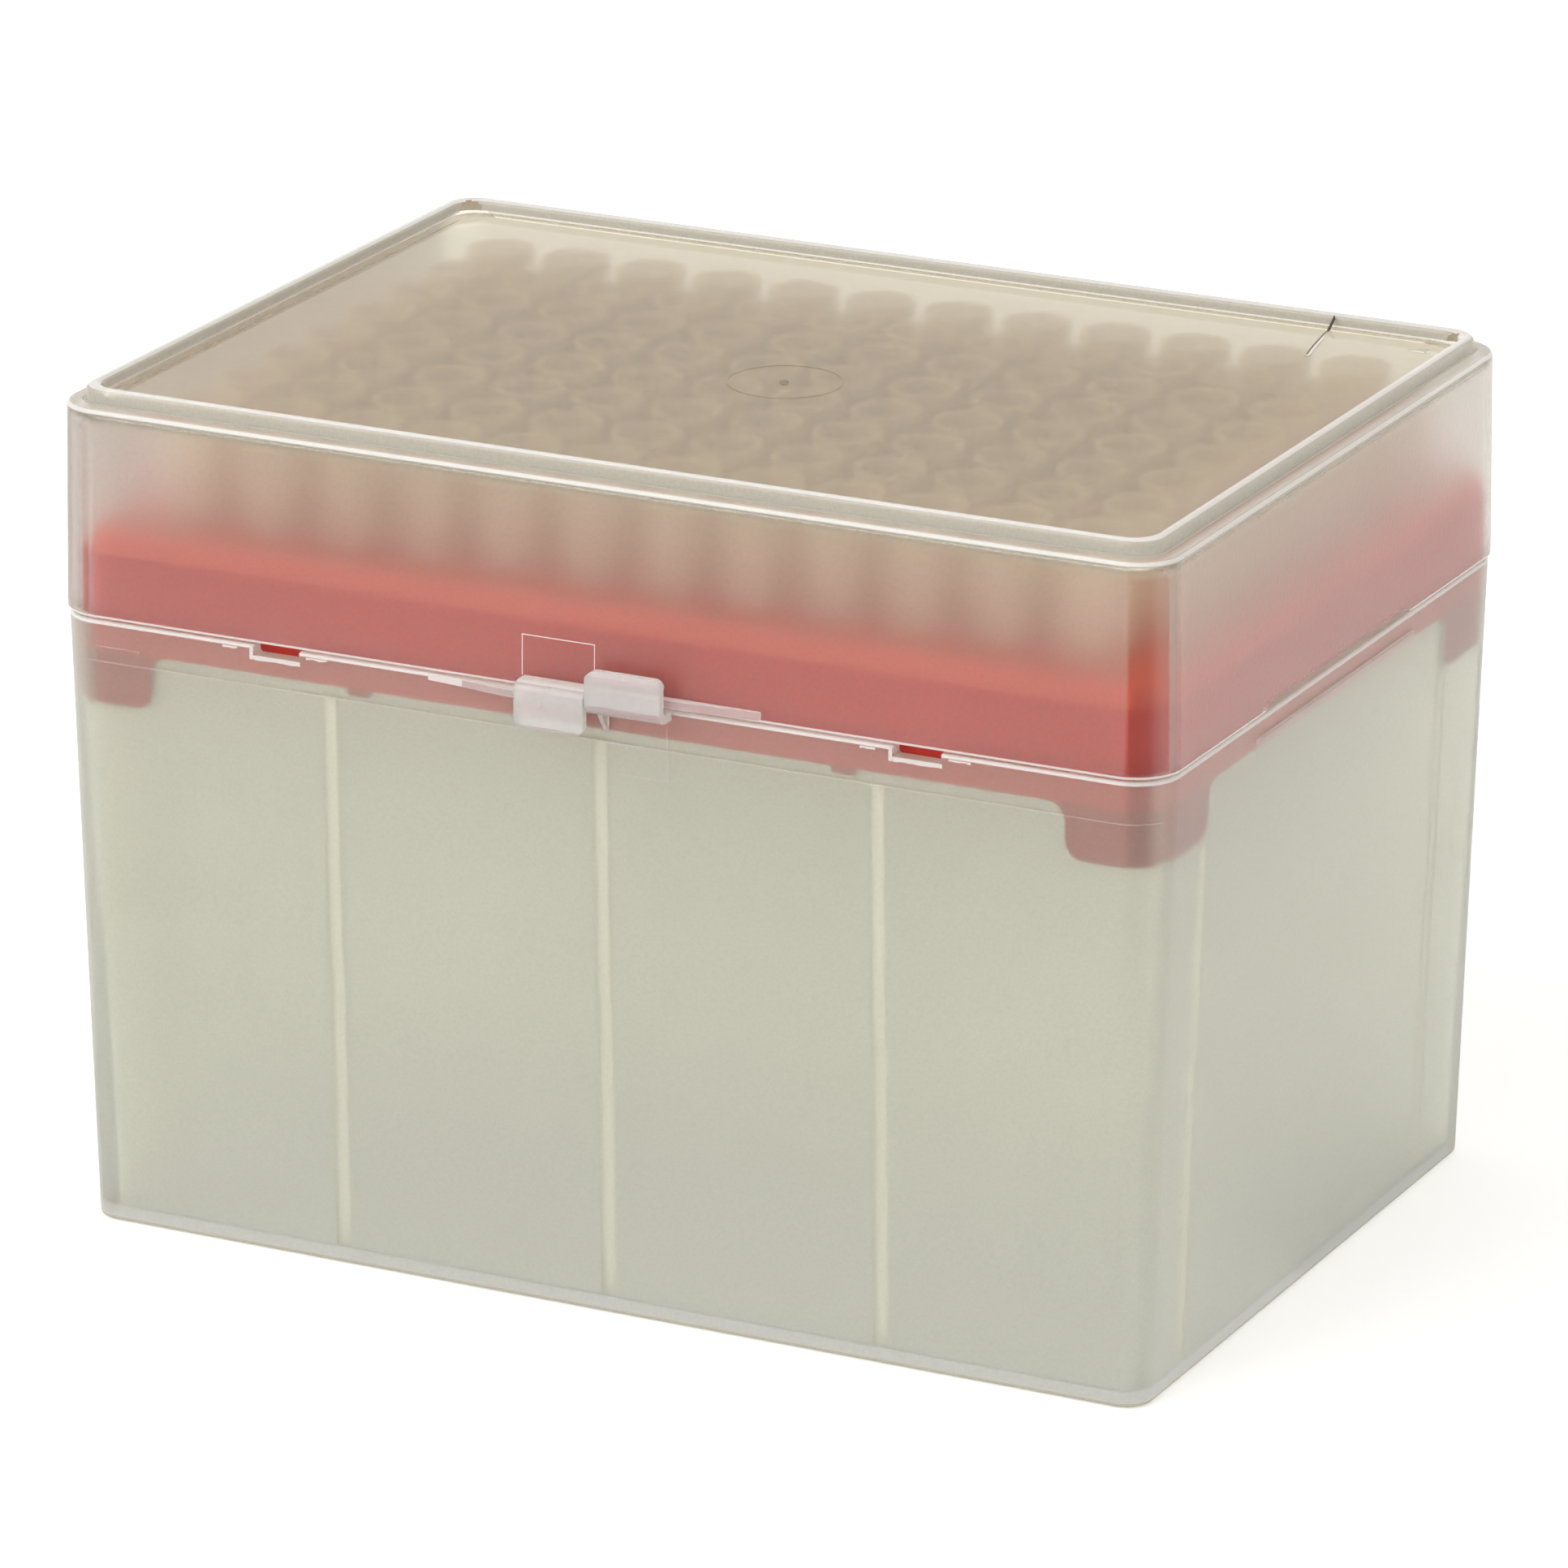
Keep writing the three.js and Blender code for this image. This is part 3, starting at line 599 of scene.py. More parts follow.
def tub_hollow(extra=0.0):
    """The room in the tub, a little less wide below the step in its walls and wider above the ledge."""
    low = TUB_WALL + LEDGE_WIDTH + STEP_WIDTH + extra
    middle = TUB_WALL + LEDGE_WIDTH + extra
    rim = TUB_WALL + extra
    floor = []
    for angle in (0, 0.3, 0.6, 0.95, 1.3, math.pi / 2):
        height = FLOOR + FLOOR_FILLET - FLOOR_FILLET * math.cos(angle)
        floor.append((height, tub_inset(FLOOR) + low + FLOOR_FILLET - FLOOR_FILLET * math.sin(angle)))
    return loft(floor + [
        (STEP_HEIGHT, tub_inset(STEP_HEIGHT) + low),
        (STEP_HEIGHT + STEP_RISE, tub_inset(STEP_HEIGHT + STEP_RISE) + middle),
        (LEDGE - 0.15, tub_inset(LEDGE) + middle),
        (LEDGE, tub_inset(LEDGE) + middle - 0.15),
        (LEDGE, tub_inset(LEDGE) + rim),
        (RIM - 0.3, tub_inset(RIM) + rim),
        (RIM + 1, tub_inset(RIM) + rim - 0.8),
    ])


def tub_ribs():
    """Low ribs up the inside of the walls. Their roots stay inside the wall, clear of its outer face."""
    across, along = [], []
    for x in (-RIB_SPACING, 0.0, RIB_SPACING):
        across.append(block(x - RIB_HALF, x + RIB_HALF, -HALF_Y, HALF_Y, FLOOR / 2, LEDGE))
    for y in (-RIB_OFFSET, RIB_OFFSET):
        along.append(block(-HALF_X, HALF_X, y - RIB_HALF, y + RIB_HALF, FLOOR / 2, LEDGE))
    ribs = add(joined(across), joined(along))
    ribs = keep(ribs, loft([(FLOOR / 3, tub_inset(FLOOR / 3) + RIB_ROOT), (RIM, tub_inset(RIM) + RIB_ROOT)]))
    return cut(ribs, tub_hollow(RIB_PROUD))


def ledge_line():
    """A thin line around the front at the height of the ledge inside, with its ends behind the corners."""
    inset = tub_inset(LEDGE_LINE)
    half = 0.07
    low, high = LEDGE_LINE - 1, LEDGE_LINE + 1
    ring = loft([(LEDGE_LINE - half, inset - 0.05), (LEDGE_LINE + half, inset - 0.05)])
    ring = cut(ring, loft([(low, inset + 0.5), (high, inset + 0.5)]))
    return keep(ring, block(-HALF_X + 4.0, HALF_X - 1.0, -HALF_Y - 1, -HALF_Y + 6, low, high))


def leg_pockets():
    """The room in the corners of the tub for the rack's legs."""
    bottom = LEG_BOTTOM - SEAT_GAP
    span_x = RACK_HIGH.x - 9.1
    span_y = RACK_HIGH.y - 11.8
    room = loft([(bottom, tub_inset(bottom) + TUB_WALL), (RIM + 1, tub_inset(RIM) + TUB_WALL - TUB_DRAFT)])
    room = cut(room, block(-span_x, span_x, -HALF_Y, HALF_Y, bottom - 1, LEDGE))
    return cut(room, block(-HALF_X, HALF_X, -span_y, span_y, bottom - 1, LEDGE))


NOTCH_OFFSET = 35.6
NOTCH_HALF = 2.6
NOTCH_DEPTH = 1.0


def rim_notches():
    """Two notches in the rim of each long wall, as cutters that reach through both walls."""
    half, chamfer, top = NOTCH_HALF, 0.25, NOTCH_DEPTH * 2
    left = [(-half, top), (-half, chamfer), (-half + chamfer, 0)]
    shape = left + [(-a, b) for a, b in left[::-1]]
    cutters = []
    for x in (-NOTCH_OFFSET, NOTCH_OFFSET):
        section = [(RIM - NOTCH_DEPTH + b, x + a) for a, b in shape]
        cutters.append(prism(section, 1, -HALF_Y - 1, HALF_Y + 1))
    return joined(cutters)


def ragged(start, end, level, amount, seed, steps=24):
    """Points along X from start to end whose height strays from a level, as torn flash does."""
    points = []
    for step in range(steps + 1):
        t = step / steps
        stray = math.sin(11.0 * t + seed) + 0.7 * math.sin(29.0 * t + 2.3 * seed)
        stray += 0.5 * math.sin(67.0 * t + seed)
        points.append((start + (end - start) * t, level + amount * stray / 2.2))
    return points


def flash(lower, top, proud=0.07):
    """A thin skin of plastic on the front wall under the rim, with a ragged lower edge."""
    y = tub_front(top)
    shape = lower + [(lower[-1][0], top), (lower[0][0], top)]
    return prism([(z, x) for x, z in shape], 1, y - proud, y + 0.4)


def notch_flash():
    """Torn skins of plastic under and beside the notches of the front wall."""
    pieces = []
    low = RIM - NOTCH_DEPTH
    for side in (-1, 1):
        middle = side * NOTCH_OFFSET
        left, right = middle - NOTCH_HALF, middle + NOTCH_HALF
        pieces.append(flash(ragged(left - 0.45, right + 0.1, low - 0.5, 0.07, middle), low - 0.03))
        pieces.append(flash(ragged(left - 0.45, left - 0.05, low - 0.5, 0.03, middle, 6), RIM - 0.1))
        pieces.append(flash(ragged(left - 3.6, left - 1.9, RIM - 0.62, 0.10, middle + 1, 12), RIM - 0.4))
        pieces.append(flash(ragged(right + 0.8, right + 3.2, RIM - 0.60, 0.10, middle + 2, 12), RIM - 0.4))
    return pieces


def grip_ledges():
    """A shallow ledge for the fingers on each short side, under the lid's thumb gap."""
    top = SEAM - 2.25
    bottom = top - 0.7
    half = 20.0
    proud = 0.5
    wall = HALF_X - tub_inset(top)
    root = wall - TUB_WALL / 2
    section = [(root, -half), (wall, -half), (wall + proud, proud * 2 - half)]
    section += [(x, -y) for x, y in section[::-1]]
    ledges = [prism(section, 2, bottom, top), prism([(-x, -y) for x, y in section], 2, bottom, top)]
    return joined([bevelled(ledge, 0.15, 2) for ledge in ledges])


# ---------- Latch ----------

LATCH_MIDDLE = 0.55
PLATE_FRONT = -HALF_Y - 2.4
PLATE_BACK = -HALF_Y - 1.5
BAR_FACE = -HALF_Y - 0.9


def latch_plate(x0, x1, wall, root, up, reach):
    """A plate that leaves the wall at a height and turns up (1) or down (-1) in front of it, to a lip."""
    end = root + up * reach
    bend = root + up * 0.9
    lip = PLATE_BACK + 0.3
    bow = [(-y, root + up * (1.2 - z)) for y, z in arc((-PLATE_FRONT - 1.2, 0), 1.2, 0, 90, 6)]
    section = bow + [
        (wall, root), (wall, bend), (lip, bend), (PLATE_BACK, bend + up * 0.3),
        (PLATE_BACK, end - up * 1.0), (lip, end - up * 0.7), (lip, end),
        (PLATE_FRONT + 0.3, end), (PLATE_FRONT, end - up * 0.4),
    ]
    plate = prism(section, 0, x0, x1)
    radius = 1.0
    rounding = arc((x1 - radius, end - up * radius), radius, 0, 90 * up, 5)
    rounding += arc((x0 + radius, end - up * radius), radius, 90 * up, 180 * up, 5)
    rounding += [(x0, root - up * 0.6), (x1, root - up * 0.6)]
    front = prism([(z, x) for x, z in rounding], 1, PLATE_FRONT - 1, -HALF_Y + 2)
    return bevelled(keep(plate, front), 0.16, 3, 40)


def latch_bar(x0, x1, x_taper, wall, low, high, end_depth):
    """The bar that the other half's plate closes over, tapering away beside it."""
    root = wall + 0.5
    steps = 10
    curve = []
    for step in range(steps + 1):
        t = step / steps
        ease = t * t * (3 - 2 * t)
        curve.append((x1 + (x_taper - x1) * t, BAR_FACE + (wall - end_depth - BAR_FACE) * ease))
    section = [(x0, root), (x0, BAR_FACE)] + curve + [(x_taper, root)]
    return bevelled(prism(section, 2, low, high), 0.12, 2, 40)


def raised_line(x0, x1, z0, z1, wall_at):
    """A witness line of the mould on the front wall, straight along X or Z. Heights are from the seam."""
    half, proud, root = 0.05, 0.05, 0.4
    z0, z1 = SEAM + z0, SEAM + z1
    if abs(x1 - x0) > abs(z1 - z0):
        z0, z1 = z0 - half, z1 + half
    else:
        x0, x1 = x0 - half, x1 + half
    points = []
    for inward in (root, -proud):
        for x, z in ((x0, z0), (x1, z0), (x1, z1), (x0, z1)):
            points.append((x, wall_at(z) + inward, z))
    faces = [(0, 3, 2, 1), (4, 5, 6, 7), (0, 1, 5, 4), (1, 2, 6, 5), (2, 3, 7, 6), (3, 0, 4, 7)]
    piece = mesh_object("line", points, faces)
    work = bmesh.new()
    work.from_mesh(piece.data)
    bmesh.ops.recalc_face_normals(work, faces=work.faces)
    work.to_mesh(piece.data)
    work.free()
    return piece


def tub_front(z):
    return -HALF_Y + tub_inset(z)


def lid_front(z):
    return -HALF_Y + lid_inset(z)


def tub_latch():
    """The tub's half of the latch: the rising plate, the bar for the lid's plate, and a gusset under them."""
    middle, wall = LATCH_MIDDLE, tub_front(RIM)
    plate = latch_plate(middle - 0.05, middle + 8.3, wall=wall + 0.5, root=RIM - 0.9, up=1, reach=4.6)
    bar = latch_bar(middle - 0.15, middle - 8.6, middle - 19.0, wall, low=RIM - 0.8, high=RIM, end_depth=0.0)
    corners = [(wall, RIM - 1.0), (PLATE_BACK + 0.2, RIM - 1.0), (tub_front(RIM - 3), RIM - 3.2)]
    return plate, bar, prism(corners, 0, 1.4, 1.9)


def lid_latch():
    """The lid's half of the latch: the hanging plate and the bar for the tub's plate."""
    middle, wall = LATCH_MIDDLE, -HALF_Y
    low, high = SEAM + 0.3, SEAM + 1.2
    plate = latch_plate(middle - 7.9, middle - 0.25, wall=wall + 0.5, root=high, up=-1, reach=4.75)
    bar = latch_bar(middle + 0.15, middle + 8.4, middle + 18.25, wall, low=low, high=high, end_depth=0.3)
    return plate, bar


# ---------- Hinge ----------


def hinge_disc(radius, x0, x1):
    sides = 32
    section = [(HINGE.y + a, HINGE.z + b) for a, b in arc((0, 0), radius, 0, 360 - 360 / sides, sides - 1)]
    return prism(section, 0, x0, x1)


PIN_RADIUS = 1.0
CLIP_INNER = PIN_RADIUS + 0.3
CLIP_OUTER = CLIP_INNER + 1.0
EAR_RADIUS = 1.9
HINGE_PLACES = (-32.0, 32.0)
HINGE_HALF = 4.5


def hinge_ears(centre):
    """Two ears on the tub's back wall that carry a pin between them."""
    inner = HINGE_HALF + 0.3
    outer = inner + 1.6
    low, top = RIM - 6, RIM - 0.3
    root_low = HALF_Y - tub_inset(low) - TUB_WALL / 2
    root_top = HALF_Y - tub_inset(RIM) - TUB_WALL / 2
    slant = 1.33
    section = [
        (root_top, top), (root_low, low), (HINGE.y, HINGE.z - EAR_RADIUS),
        (HINGE.y + slant, HINGE.z - slant), (HINGE.y, top),
    ]
    pieces = []
    for x0, x1 in ((centre - outer, centre - inner), (centre + inner, centre + outer)):
        ear = add(hinge_disc(EAR_RADIUS, x0, x1), prism(section, 0, x0, x1))
        pieces.append(bevelled(ear, 0.15, 2, 40))
    return add(hinge_disc(PIN_RADIUS, centre - outer + 0.3, centre + outer - 0.3), *pieces)


def hinge_clip(centre):
    """A clip on the lid's back wall that grips the pin from above, and the web that joins it to the wall."""
    x0, x1 = centre - HINGE_HALF, centre + HINGE_HALF
    section = [(HINGE.y + a, HINGE.z + b) for a, b in arc((0, 0), CLIP_OUTER, -60, 240, 30)]
    section += [(HINGE.y + a, HINGE.z + b) for a, b in arc((0, 0), CLIP_INNER, 240, -60, 30)]
    clip = prism(section, 0, x0, x1)
    wall = HALF_Y - LID_WALL / 2
    corners = [
        (wall, SEAM + 3), (wall, SEAM), (HINGE.y - CLIP_OUTER * 0.9, SEAM),
        (HINGE.y - CLIP_INNER * 0.8, HINGE.z + CLIP_INNER), (HINGE.y, HINGE.z + CLIP_OUTER * 0.95),
    ]
    web = cut(prism(corners, 0, x0, x1), hinge_disc(CLIP_INNER, x0 - 1, x1 + 1))
    return bevelled(add(clip, web), 0.12, 2, 40)


# ---------- Lid ----------


def lid_inset(height):
    return LID_DRAFT * (height - SEAM)


def lid_outer():
    """The lid's outside: drafted walls, a rounded shoulder, a rounded rim to stack on and the sunk panel."""
    edge = lid_inset(LID_LEDGE)
    foot = rounded_corner(SEAM + EDGE_ROUND, EDGE_ROUND, EDGE_ROUND, -90, 0, 5)
    top = rounded_corner(LID_LEDGE - SHOULDER, edge + SHOULDER, SHOULDER, 0, 90, 8)
    rim = RIM_OUTSIDE
    groove = [(LID_LEDGE, rim - 0.22), (LID_LEDGE - 0.06, rim - 0.15), (LID_LEDGE + 0.08, rim)]
    crest = rounded_corner(RIM_TOP - CREST_RADIUS, rim + 0.1 + CREST_RADIUS, CREST_RADIUS, 0, 180, 12)
    slope = [(PANEL_TOP + 0.18, rim + 1.5), (PANEL_TOP + 0.04, rim + 1.64), (PANEL_TOP, rim + 1.85)]
    panel = [(PANEL_TOP, rim + 2.65), (PANEL_TOP - 0.07, rim + 2.75)]
    return loft(foot + top + [(*level, RIM_RADIUS) for level in groove + crest + slope + panel])


def lid_hollow():
    radius = 1.2
    top = PANEL_UNDERSIDE - radius
    inside = lid_inset(top) + LID_WALL + radius
    mouth = [(SEAM - 1, LID_WALL - 0.7), (SEAM + 0.3, LID_WALL)]
    return loft(mouth + rounded_corner(top, inside, radius, 0, 90, 6))


def thumb_gaps():
    """A low gap in the lower edge of each short side, as one cutter through both."""
    half = 18.75
    rise = 0.8
    curve = [(half, SEAM - 1), (half, SEAM)]
    for step in range(1, 7):
        t = step / 6
        curve.append((half - 3 * rise * t, SEAM + rise * (1 - (1 - t) ** 2)))
    section = curve + [(-y, z) for y, z in curve[::-1]]
    return prism(section, 0, -HALF_X - 1, HALF_X + 1)


def gate_mark():
    """The ring and the gate nub in the middle of the panel."""
    radius, half, segments = 5.9, 0.07, 64
    top = PANEL_TOP - 0.07
    place = Vector((1.65, -3.6, 0))
    rings = []
    for side, height in ((-1, -0.2), (1, -0.2), (1, 0.05), (-1, 0.05)):
        circle = arc(place, radius + side * half, 0, 360 - 360 / segments, segments - 1)
        rings.append([(x, y, top + height) for x, y in circle])
    nub = lathe([(0, -0.3), (0.55, -0.3), (0.5, 0.12), (0.34, 0.3), (0, 0.34)], 20)
    nub.data.transform(Matrix.Translation((place.x - 0.1, place.y, top)))
    return closed_tube(rings), nub


MARK_ROOT = PANEL_TOP - 0.3
HAIR_TOP = PANEL_TOP + 0.06
MARK_TOP = PANEL_TOP + 0.03


def hair_mark():
    """A dark hair on the panel, from the rim's inner slope towards the front, with a pale edge beside it that
    carries a painted highlight.
    """
    half = 0.07
    path = [
        (43.50, 38.2), (43.62, 37.0), (43.86, 35.4), (44.05, 34.3),
        (44.32, 32.6), (44.62, 31.0), (45.02, 29.2),
    ]
    sides = [(x - half, y) for x, y in path] + [(x + half, y) for x, y in path[::-1]]
    hair = prism(sides, 2, MARK_ROOT, HAIR_TOP)
    top = RIM_TOP - 0.1
    rise = prism([(38.0, PANEL_TOP), (39.9, top), (39.9, top - 0.4), (38.2, MARK_ROOT)], 0, 43.42, 43.56)
    edge = [(x + half * 2, y) for x, y in path[1:]] + [(44.9, 28.7), (45.4, 28.9)]
    edge += [(x + 0.38, y) for x, y in path[:1:-1]]
    return hair, rise, prism(edge, 2, MARK_ROOT, MARK_TOP)


def smudge():
    return prism([(53.6, 35.5), (55.5, 35.3), (55.9, 35.9), (55.5, 36.6)], 2, MARK_ROOT, MARK_TOP)


# ---------- Rack ----------


def rack_inset(height):
    return RACK_INSET + TUB_DRAFT * max(RIM - height, 0)


def rack_shell():
    """The rack's walls and deck, before its arches and holes: the upper edge slopes in to the deck."""
    edge, low = rack_inset(RIM), rack_inset(LEG_BOTTOM)
    walls = [(LEG_BOTTOM, low + 0.3), (LEG_BOTTOM + 0.3, low), (RIM, edge)]
    slope = [(SLOPE_FOOT, edge), (SLOPE_FOOT + 0.25, edge + 0.35)]
    top = rounded_corner(DECK_TOP - 0.5, edge + 1.7, 0.5, 20, 90, 5)
    hollow = loft([
        (LEG_BOTTOM - 1, rack_inset(LEG_BOTTOM - 1) + RACK_WALL),
        (RIM, edge + RACK_WALL),
        (SLOPE_FOOT - 1.0, edge + RACK_WALL),
        (DECK_TOP - DECK_THICKNESS, edge + RACK_WALL + 1.5),
    ])
    return cut(loft(walls + slope + top), hollow)


def arch(half):
    """The gap between two legs, with rounded feet and rounded upper corners."""
    r = 2.0
    turns = (0.4, 0.8, 1.2, math.pi / 2)
    right = [(half + r, LEG_BOTTOM - 1), (half + r, LEG_BOTTOM)]
    right += [(half + r - r * math.sin(a), LEG_BOTTOM + r - r * math.cos(a)) for a in turns]
    right += [(half - r + r * math.cos(a), SKIRT_BOTTOM - r + r * math.sin(a)) for a in (0, *turns)]
    return right + [(-a, z) for a, z in right[::-1]]


def leg_arches():
    along_y = prism([(z, x) for x, z in arch(RACK_HIGH.x - 8.8)], 1, -HALF_Y, HALF_Y)
    along_x = prism(arch(RACK_HIGH.y - 11.5), 0, -HALF_X, HALF_X)
    return along_y, along_x


def rack_feet():
    """Four small feet under the skirts of the long sides, which stand over the tub's ledge."""
    low, high = SKIRT_BOTTOM - 0.8, SKIRT_BOTTOM + 0.8
    outer = HALF_Y - rack_inset(low)
    half, place = 1.3, 27.0
    feet = []
    for x in (-place, place):
        for side in (-1, 1):
            y0, y1 = sorted((side * outer, side * (outer - RACK_WALL)))
            feet.append(bevelled(block(x - half, x + half, y0, y1, low, high), 0.3, 3))
    return joined(feet)


def tip_places():
    """The tips' places in the deck, in rows from the back with their columns from the left."""
    first = (TIP_LOW + TIP_HIGH) / 2
    rows = []
    for row in range(ROWS):
        y = first.y - PITCH * row
        rows.append([Vector((first.x + PITCH * column, y, 0)) for column in range(COLUMNS)])
    return rows


def all_tip_places():
    return [place for row in tip_places() for place in row]


def tip_holes():
    radius, chamfer = 3.55, 0.35
    low, high = DECK_TOP - DECK_THICKNESS - 1, DECK_TOP + 1
    profile = [
        (0, low), (radius, low), (radius, DECK_TOP - chamfer),
        (radius + chamfer, DECK_TOP), (radius + chamfer, high), (0, high),
    ]
    return copy_at(lathe(profile, 32), all_tip_places())


# ---------- Tips ----------


COLLAR = DECK_TOP + SEAT_GAP
WAIST = TIP_TOP - 52.0
COLLAR_RADIUS = 3.6


def tip_profile():
    """The tip's points as (radius, height), up the outside and back down the bore."""
    shaft = [(0.55, TIP_END), (0.75, TIP_END + 0.1), (0.80, TIP_END + 0.6), (1.15, TIP_END + 10)]
    waist = [(1.9, WAIST), (2.15, WAIST + 1.5), (2.55, TIP_TOP - 30), (3.05, COLLAR - 6), (3.2, COLLAR - 0.3)]
    seat = [(3.3, COLLAR - 0.05), (3.45, COLLAR), (3.62, COLLAR + 0.05), (3.66, COLLAR + 0.3)]
    collar = [(3.70, COLLAR + 4), (3.74, TIP_TOP - 0.35), (3.68, TIP_TOP - 0.1), (3.55, TIP_TOP)]
    mouth = [(3.15, TIP_TOP), (2.95, TIP_TOP - 0.15), (2.85, TIP_TOP - 0.6)]
    bore = [(2.6, TIP_TOP - 12), (2.35, TIP_TOP - 22), (1.85, TIP_TOP - 38), (1.35, WAIST)]
    return shaft + waist + seat + collar + mouth + bore + [(0.35, TIP_END + 2), (0.3, TIP_END)]


def make_tip():
    """A closed tube: up the outside, over the rim and down the bore, with fine grip ribs on the collar."""
    segments, ribs, proud = 40, 8, 0.12
    rings = []
    for radius, height in tip_profile():
        ribbed = radius > COLLAR_RADIUS and COLLAR + 0.2 < height < TIP_TOP - 0.2
        ring = []
        for i in range(segments):
            angle = 2 * math.pi * i / segments
            r = radius + (proud if ribbed and i % (segments // ribs) == 0 else 0.0)
            ring.append((r * math.cos(angle), r * math.sin(angle), height))
        rings.append(ring)
    return closed_tube(rings)


def make_filter():
    """The plug inside a tip, a little tapered as the bore is."""
    top = TIP_TOP - 13.0
    low = top - 5.0
    return lathe([(0, low), (2.2, low), (2.32, low + 0.2), (2.5, top - 0.2), (2.4, top), (0, top)], 24)


# ---------- Pieces ----------

# Witness lines of the mould on the front walls, each from x to x and between two heights above the seam.
TUB_LINES = (
    (8.3, 8.3, -7.8, -1.5), (2.5, 8.37, -7.8, -7.8),
    (-5.9, -5.9, -6.5, -4.8), (-56.5, -51.5, -3.0, -3.0),
)
LID_LINES = ((-7.6, -7.6, 1.2, 5.33), (0.44, 0.44, 1.2, 5.33), (-7.67, 0.51, 5.4, 5.4))


def make_tub():
    tub = cut(tub_outer(), tub_hollow())
    tub = add(tub, tub_ribs())
    tub = cut(tub, leg_pockets(), rim_notches())
    tub = add(tub, ledge_line(), *notch_flash(), grip_ledges())
    tub = add(tub, *tub_latch(), *(hinge_ears(x) for x in HINGE_PLACES))
    return add(tub, *(raised_line(*ends, tub_front) for ends in TUB_LINES))


def make_lid():
    lid = cut(lid_outer(), lid_hollow(), thumb_gaps())
    lid = add(lid, *lid_latch(), *(hinge_clip(x) for x in HINGE_PLACES))
    lid = add(lid, *(raised_line(*ends, lid_front) for ends in LID_LINES))
    return add(lid, *gate_mark(), *hair_mark(), smudge())


def make_rack():
    rack = cut(rack_shell(), *leg_arches())
    rack = add(rack, rack_feet())
    return cut(rack, tip_holes())


# ---------- Where each material goes ----------

LATCH_REACH = 19.5
MARKS_X = (43.2, 56.0)
MARKS_Y = (28.6, 39.0)
SMUDGE_X = 50.0


def is_latch(centre):
    return centre.y < -HALF_Y - 0.15 and abs(centre.x) < LATCH_REACH


def is_hinge(centre):
    return centre.y > HALF_Y + 0.02


def is_edge_on(normal):
    """Whether a face of the latch looks up, down or sideways, where its edges get a painted highlight."""
    return abs(normal.y) < 0.6


def is_round_corner(normal):
    return min(abs(normal.x), abs(normal.y)) > 0.2


def is_rib(centre):
    along_front = abs(abs(centre.x) - RIB_SPACING) < 1.0 or abs(centre.x) < 1.0
    along_side = abs(abs(centre.y) - RIB_OFFSET) < 1.0 and abs(centre.x) > HALF_X - 8
    return FLOOR + 2 < centre.z < LEDGE and (along_front or along_side)


def is_wall_step(centre, normal):
    return STEP_HEIGHT < centre.z < STEP_HEIGHT + STEP_RISE and normal.z > 0.3


def panel_mark(centre):
    """The material of the hair, its pale edge with a painted highlight, and the smudge, or None elsewhere on
    the lid.
    """
    in_x = MARKS_X[0] < centre.x < MARKS_X[1]
    in_y = MARKS_Y[0] < centre.y < MARKS_Y[1]
    if not (in_x and in_y and centre.z > PANEL_TOP + 0.01):
        return None
    if centre.x > SMUDGE_X:
        return MARK_GREY
    return HAIR_DARK if centre.z > (HAIR_TOP + MARK_TOP) / 2 else EDGE_PAINTED_HIGHLIGHT


def rim_material(centre, normal, deep):
    """The top of the lid: a painted highlight on the crest and shoulder edge, a painted shade line at the
    foot of the rim, the panel.
    """
    if deep > RIM_INSIDE:
        return PANEL_GLOSS
    if centre.z > RIM_TOP - 0.2 and normal.z > 0.55:
        return EDGE_PAINTED_HIGHLIGHT
    if abs(deep - RIM_OUTSIDE + 0.11) < 0.12 and centre.z < LID_LEDGE + 0.08:
        return LINE_PAINTED_SHADE
    if centre.z < LID_LEDGE and 0.25 < normal.z < 0.85:
        return EDGE_PAINTED_HIGHLIGHT
    return LID_RIM


def lid_material(centre, normal):
    inset = lid_inset(centre.z)
    deep = depth(centre)
    at_corner = is_round_corner(normal) and abs(normal.z) < 0.3
    mark = panel_mark(centre)
    if mark is not None:
        return mark
    if is_latch(centre):
        return EDGE_PAINTED_HIGHLIGHT if is_edge_on(normal) else LATCH_CLEAR
    if is_hinge(centre):
        return LATCH_CLEAR
    # Faces proud of the wall and the lid's lower edge get a painted highlight.
    if deep < inset - 0.02 and centre.z < LID_LEDGE - 2:
        return EDGE_PAINTED_HIGHLIGHT
    if centre.z < SEAM + EDGE_ROUND and deep < LID_WALL * 0.8:
        return EDGE_PAINTED_HIGHLIGHT
    if centre.z > LID_LEDGE - SHOULDER - 0.05:
        return rim_material(centre, normal, deep)
    if centre.z > PANEL_UNDERSIDE - 0.3 and normal.z < -0.7:
        return PANEL_INSIDE
    # The rounded corners, inside and out, get the clearer plastic with painted shade.
    if deep > inset + LID_WALL / 2 and centre.z < PANEL_UNDERSIDE:
        return LID_CORNER_INSIDE_SHADE if at_corner else LID_INSIDE
    return LID_CORNER_SHADE if at_corner else LID_OUTSIDE


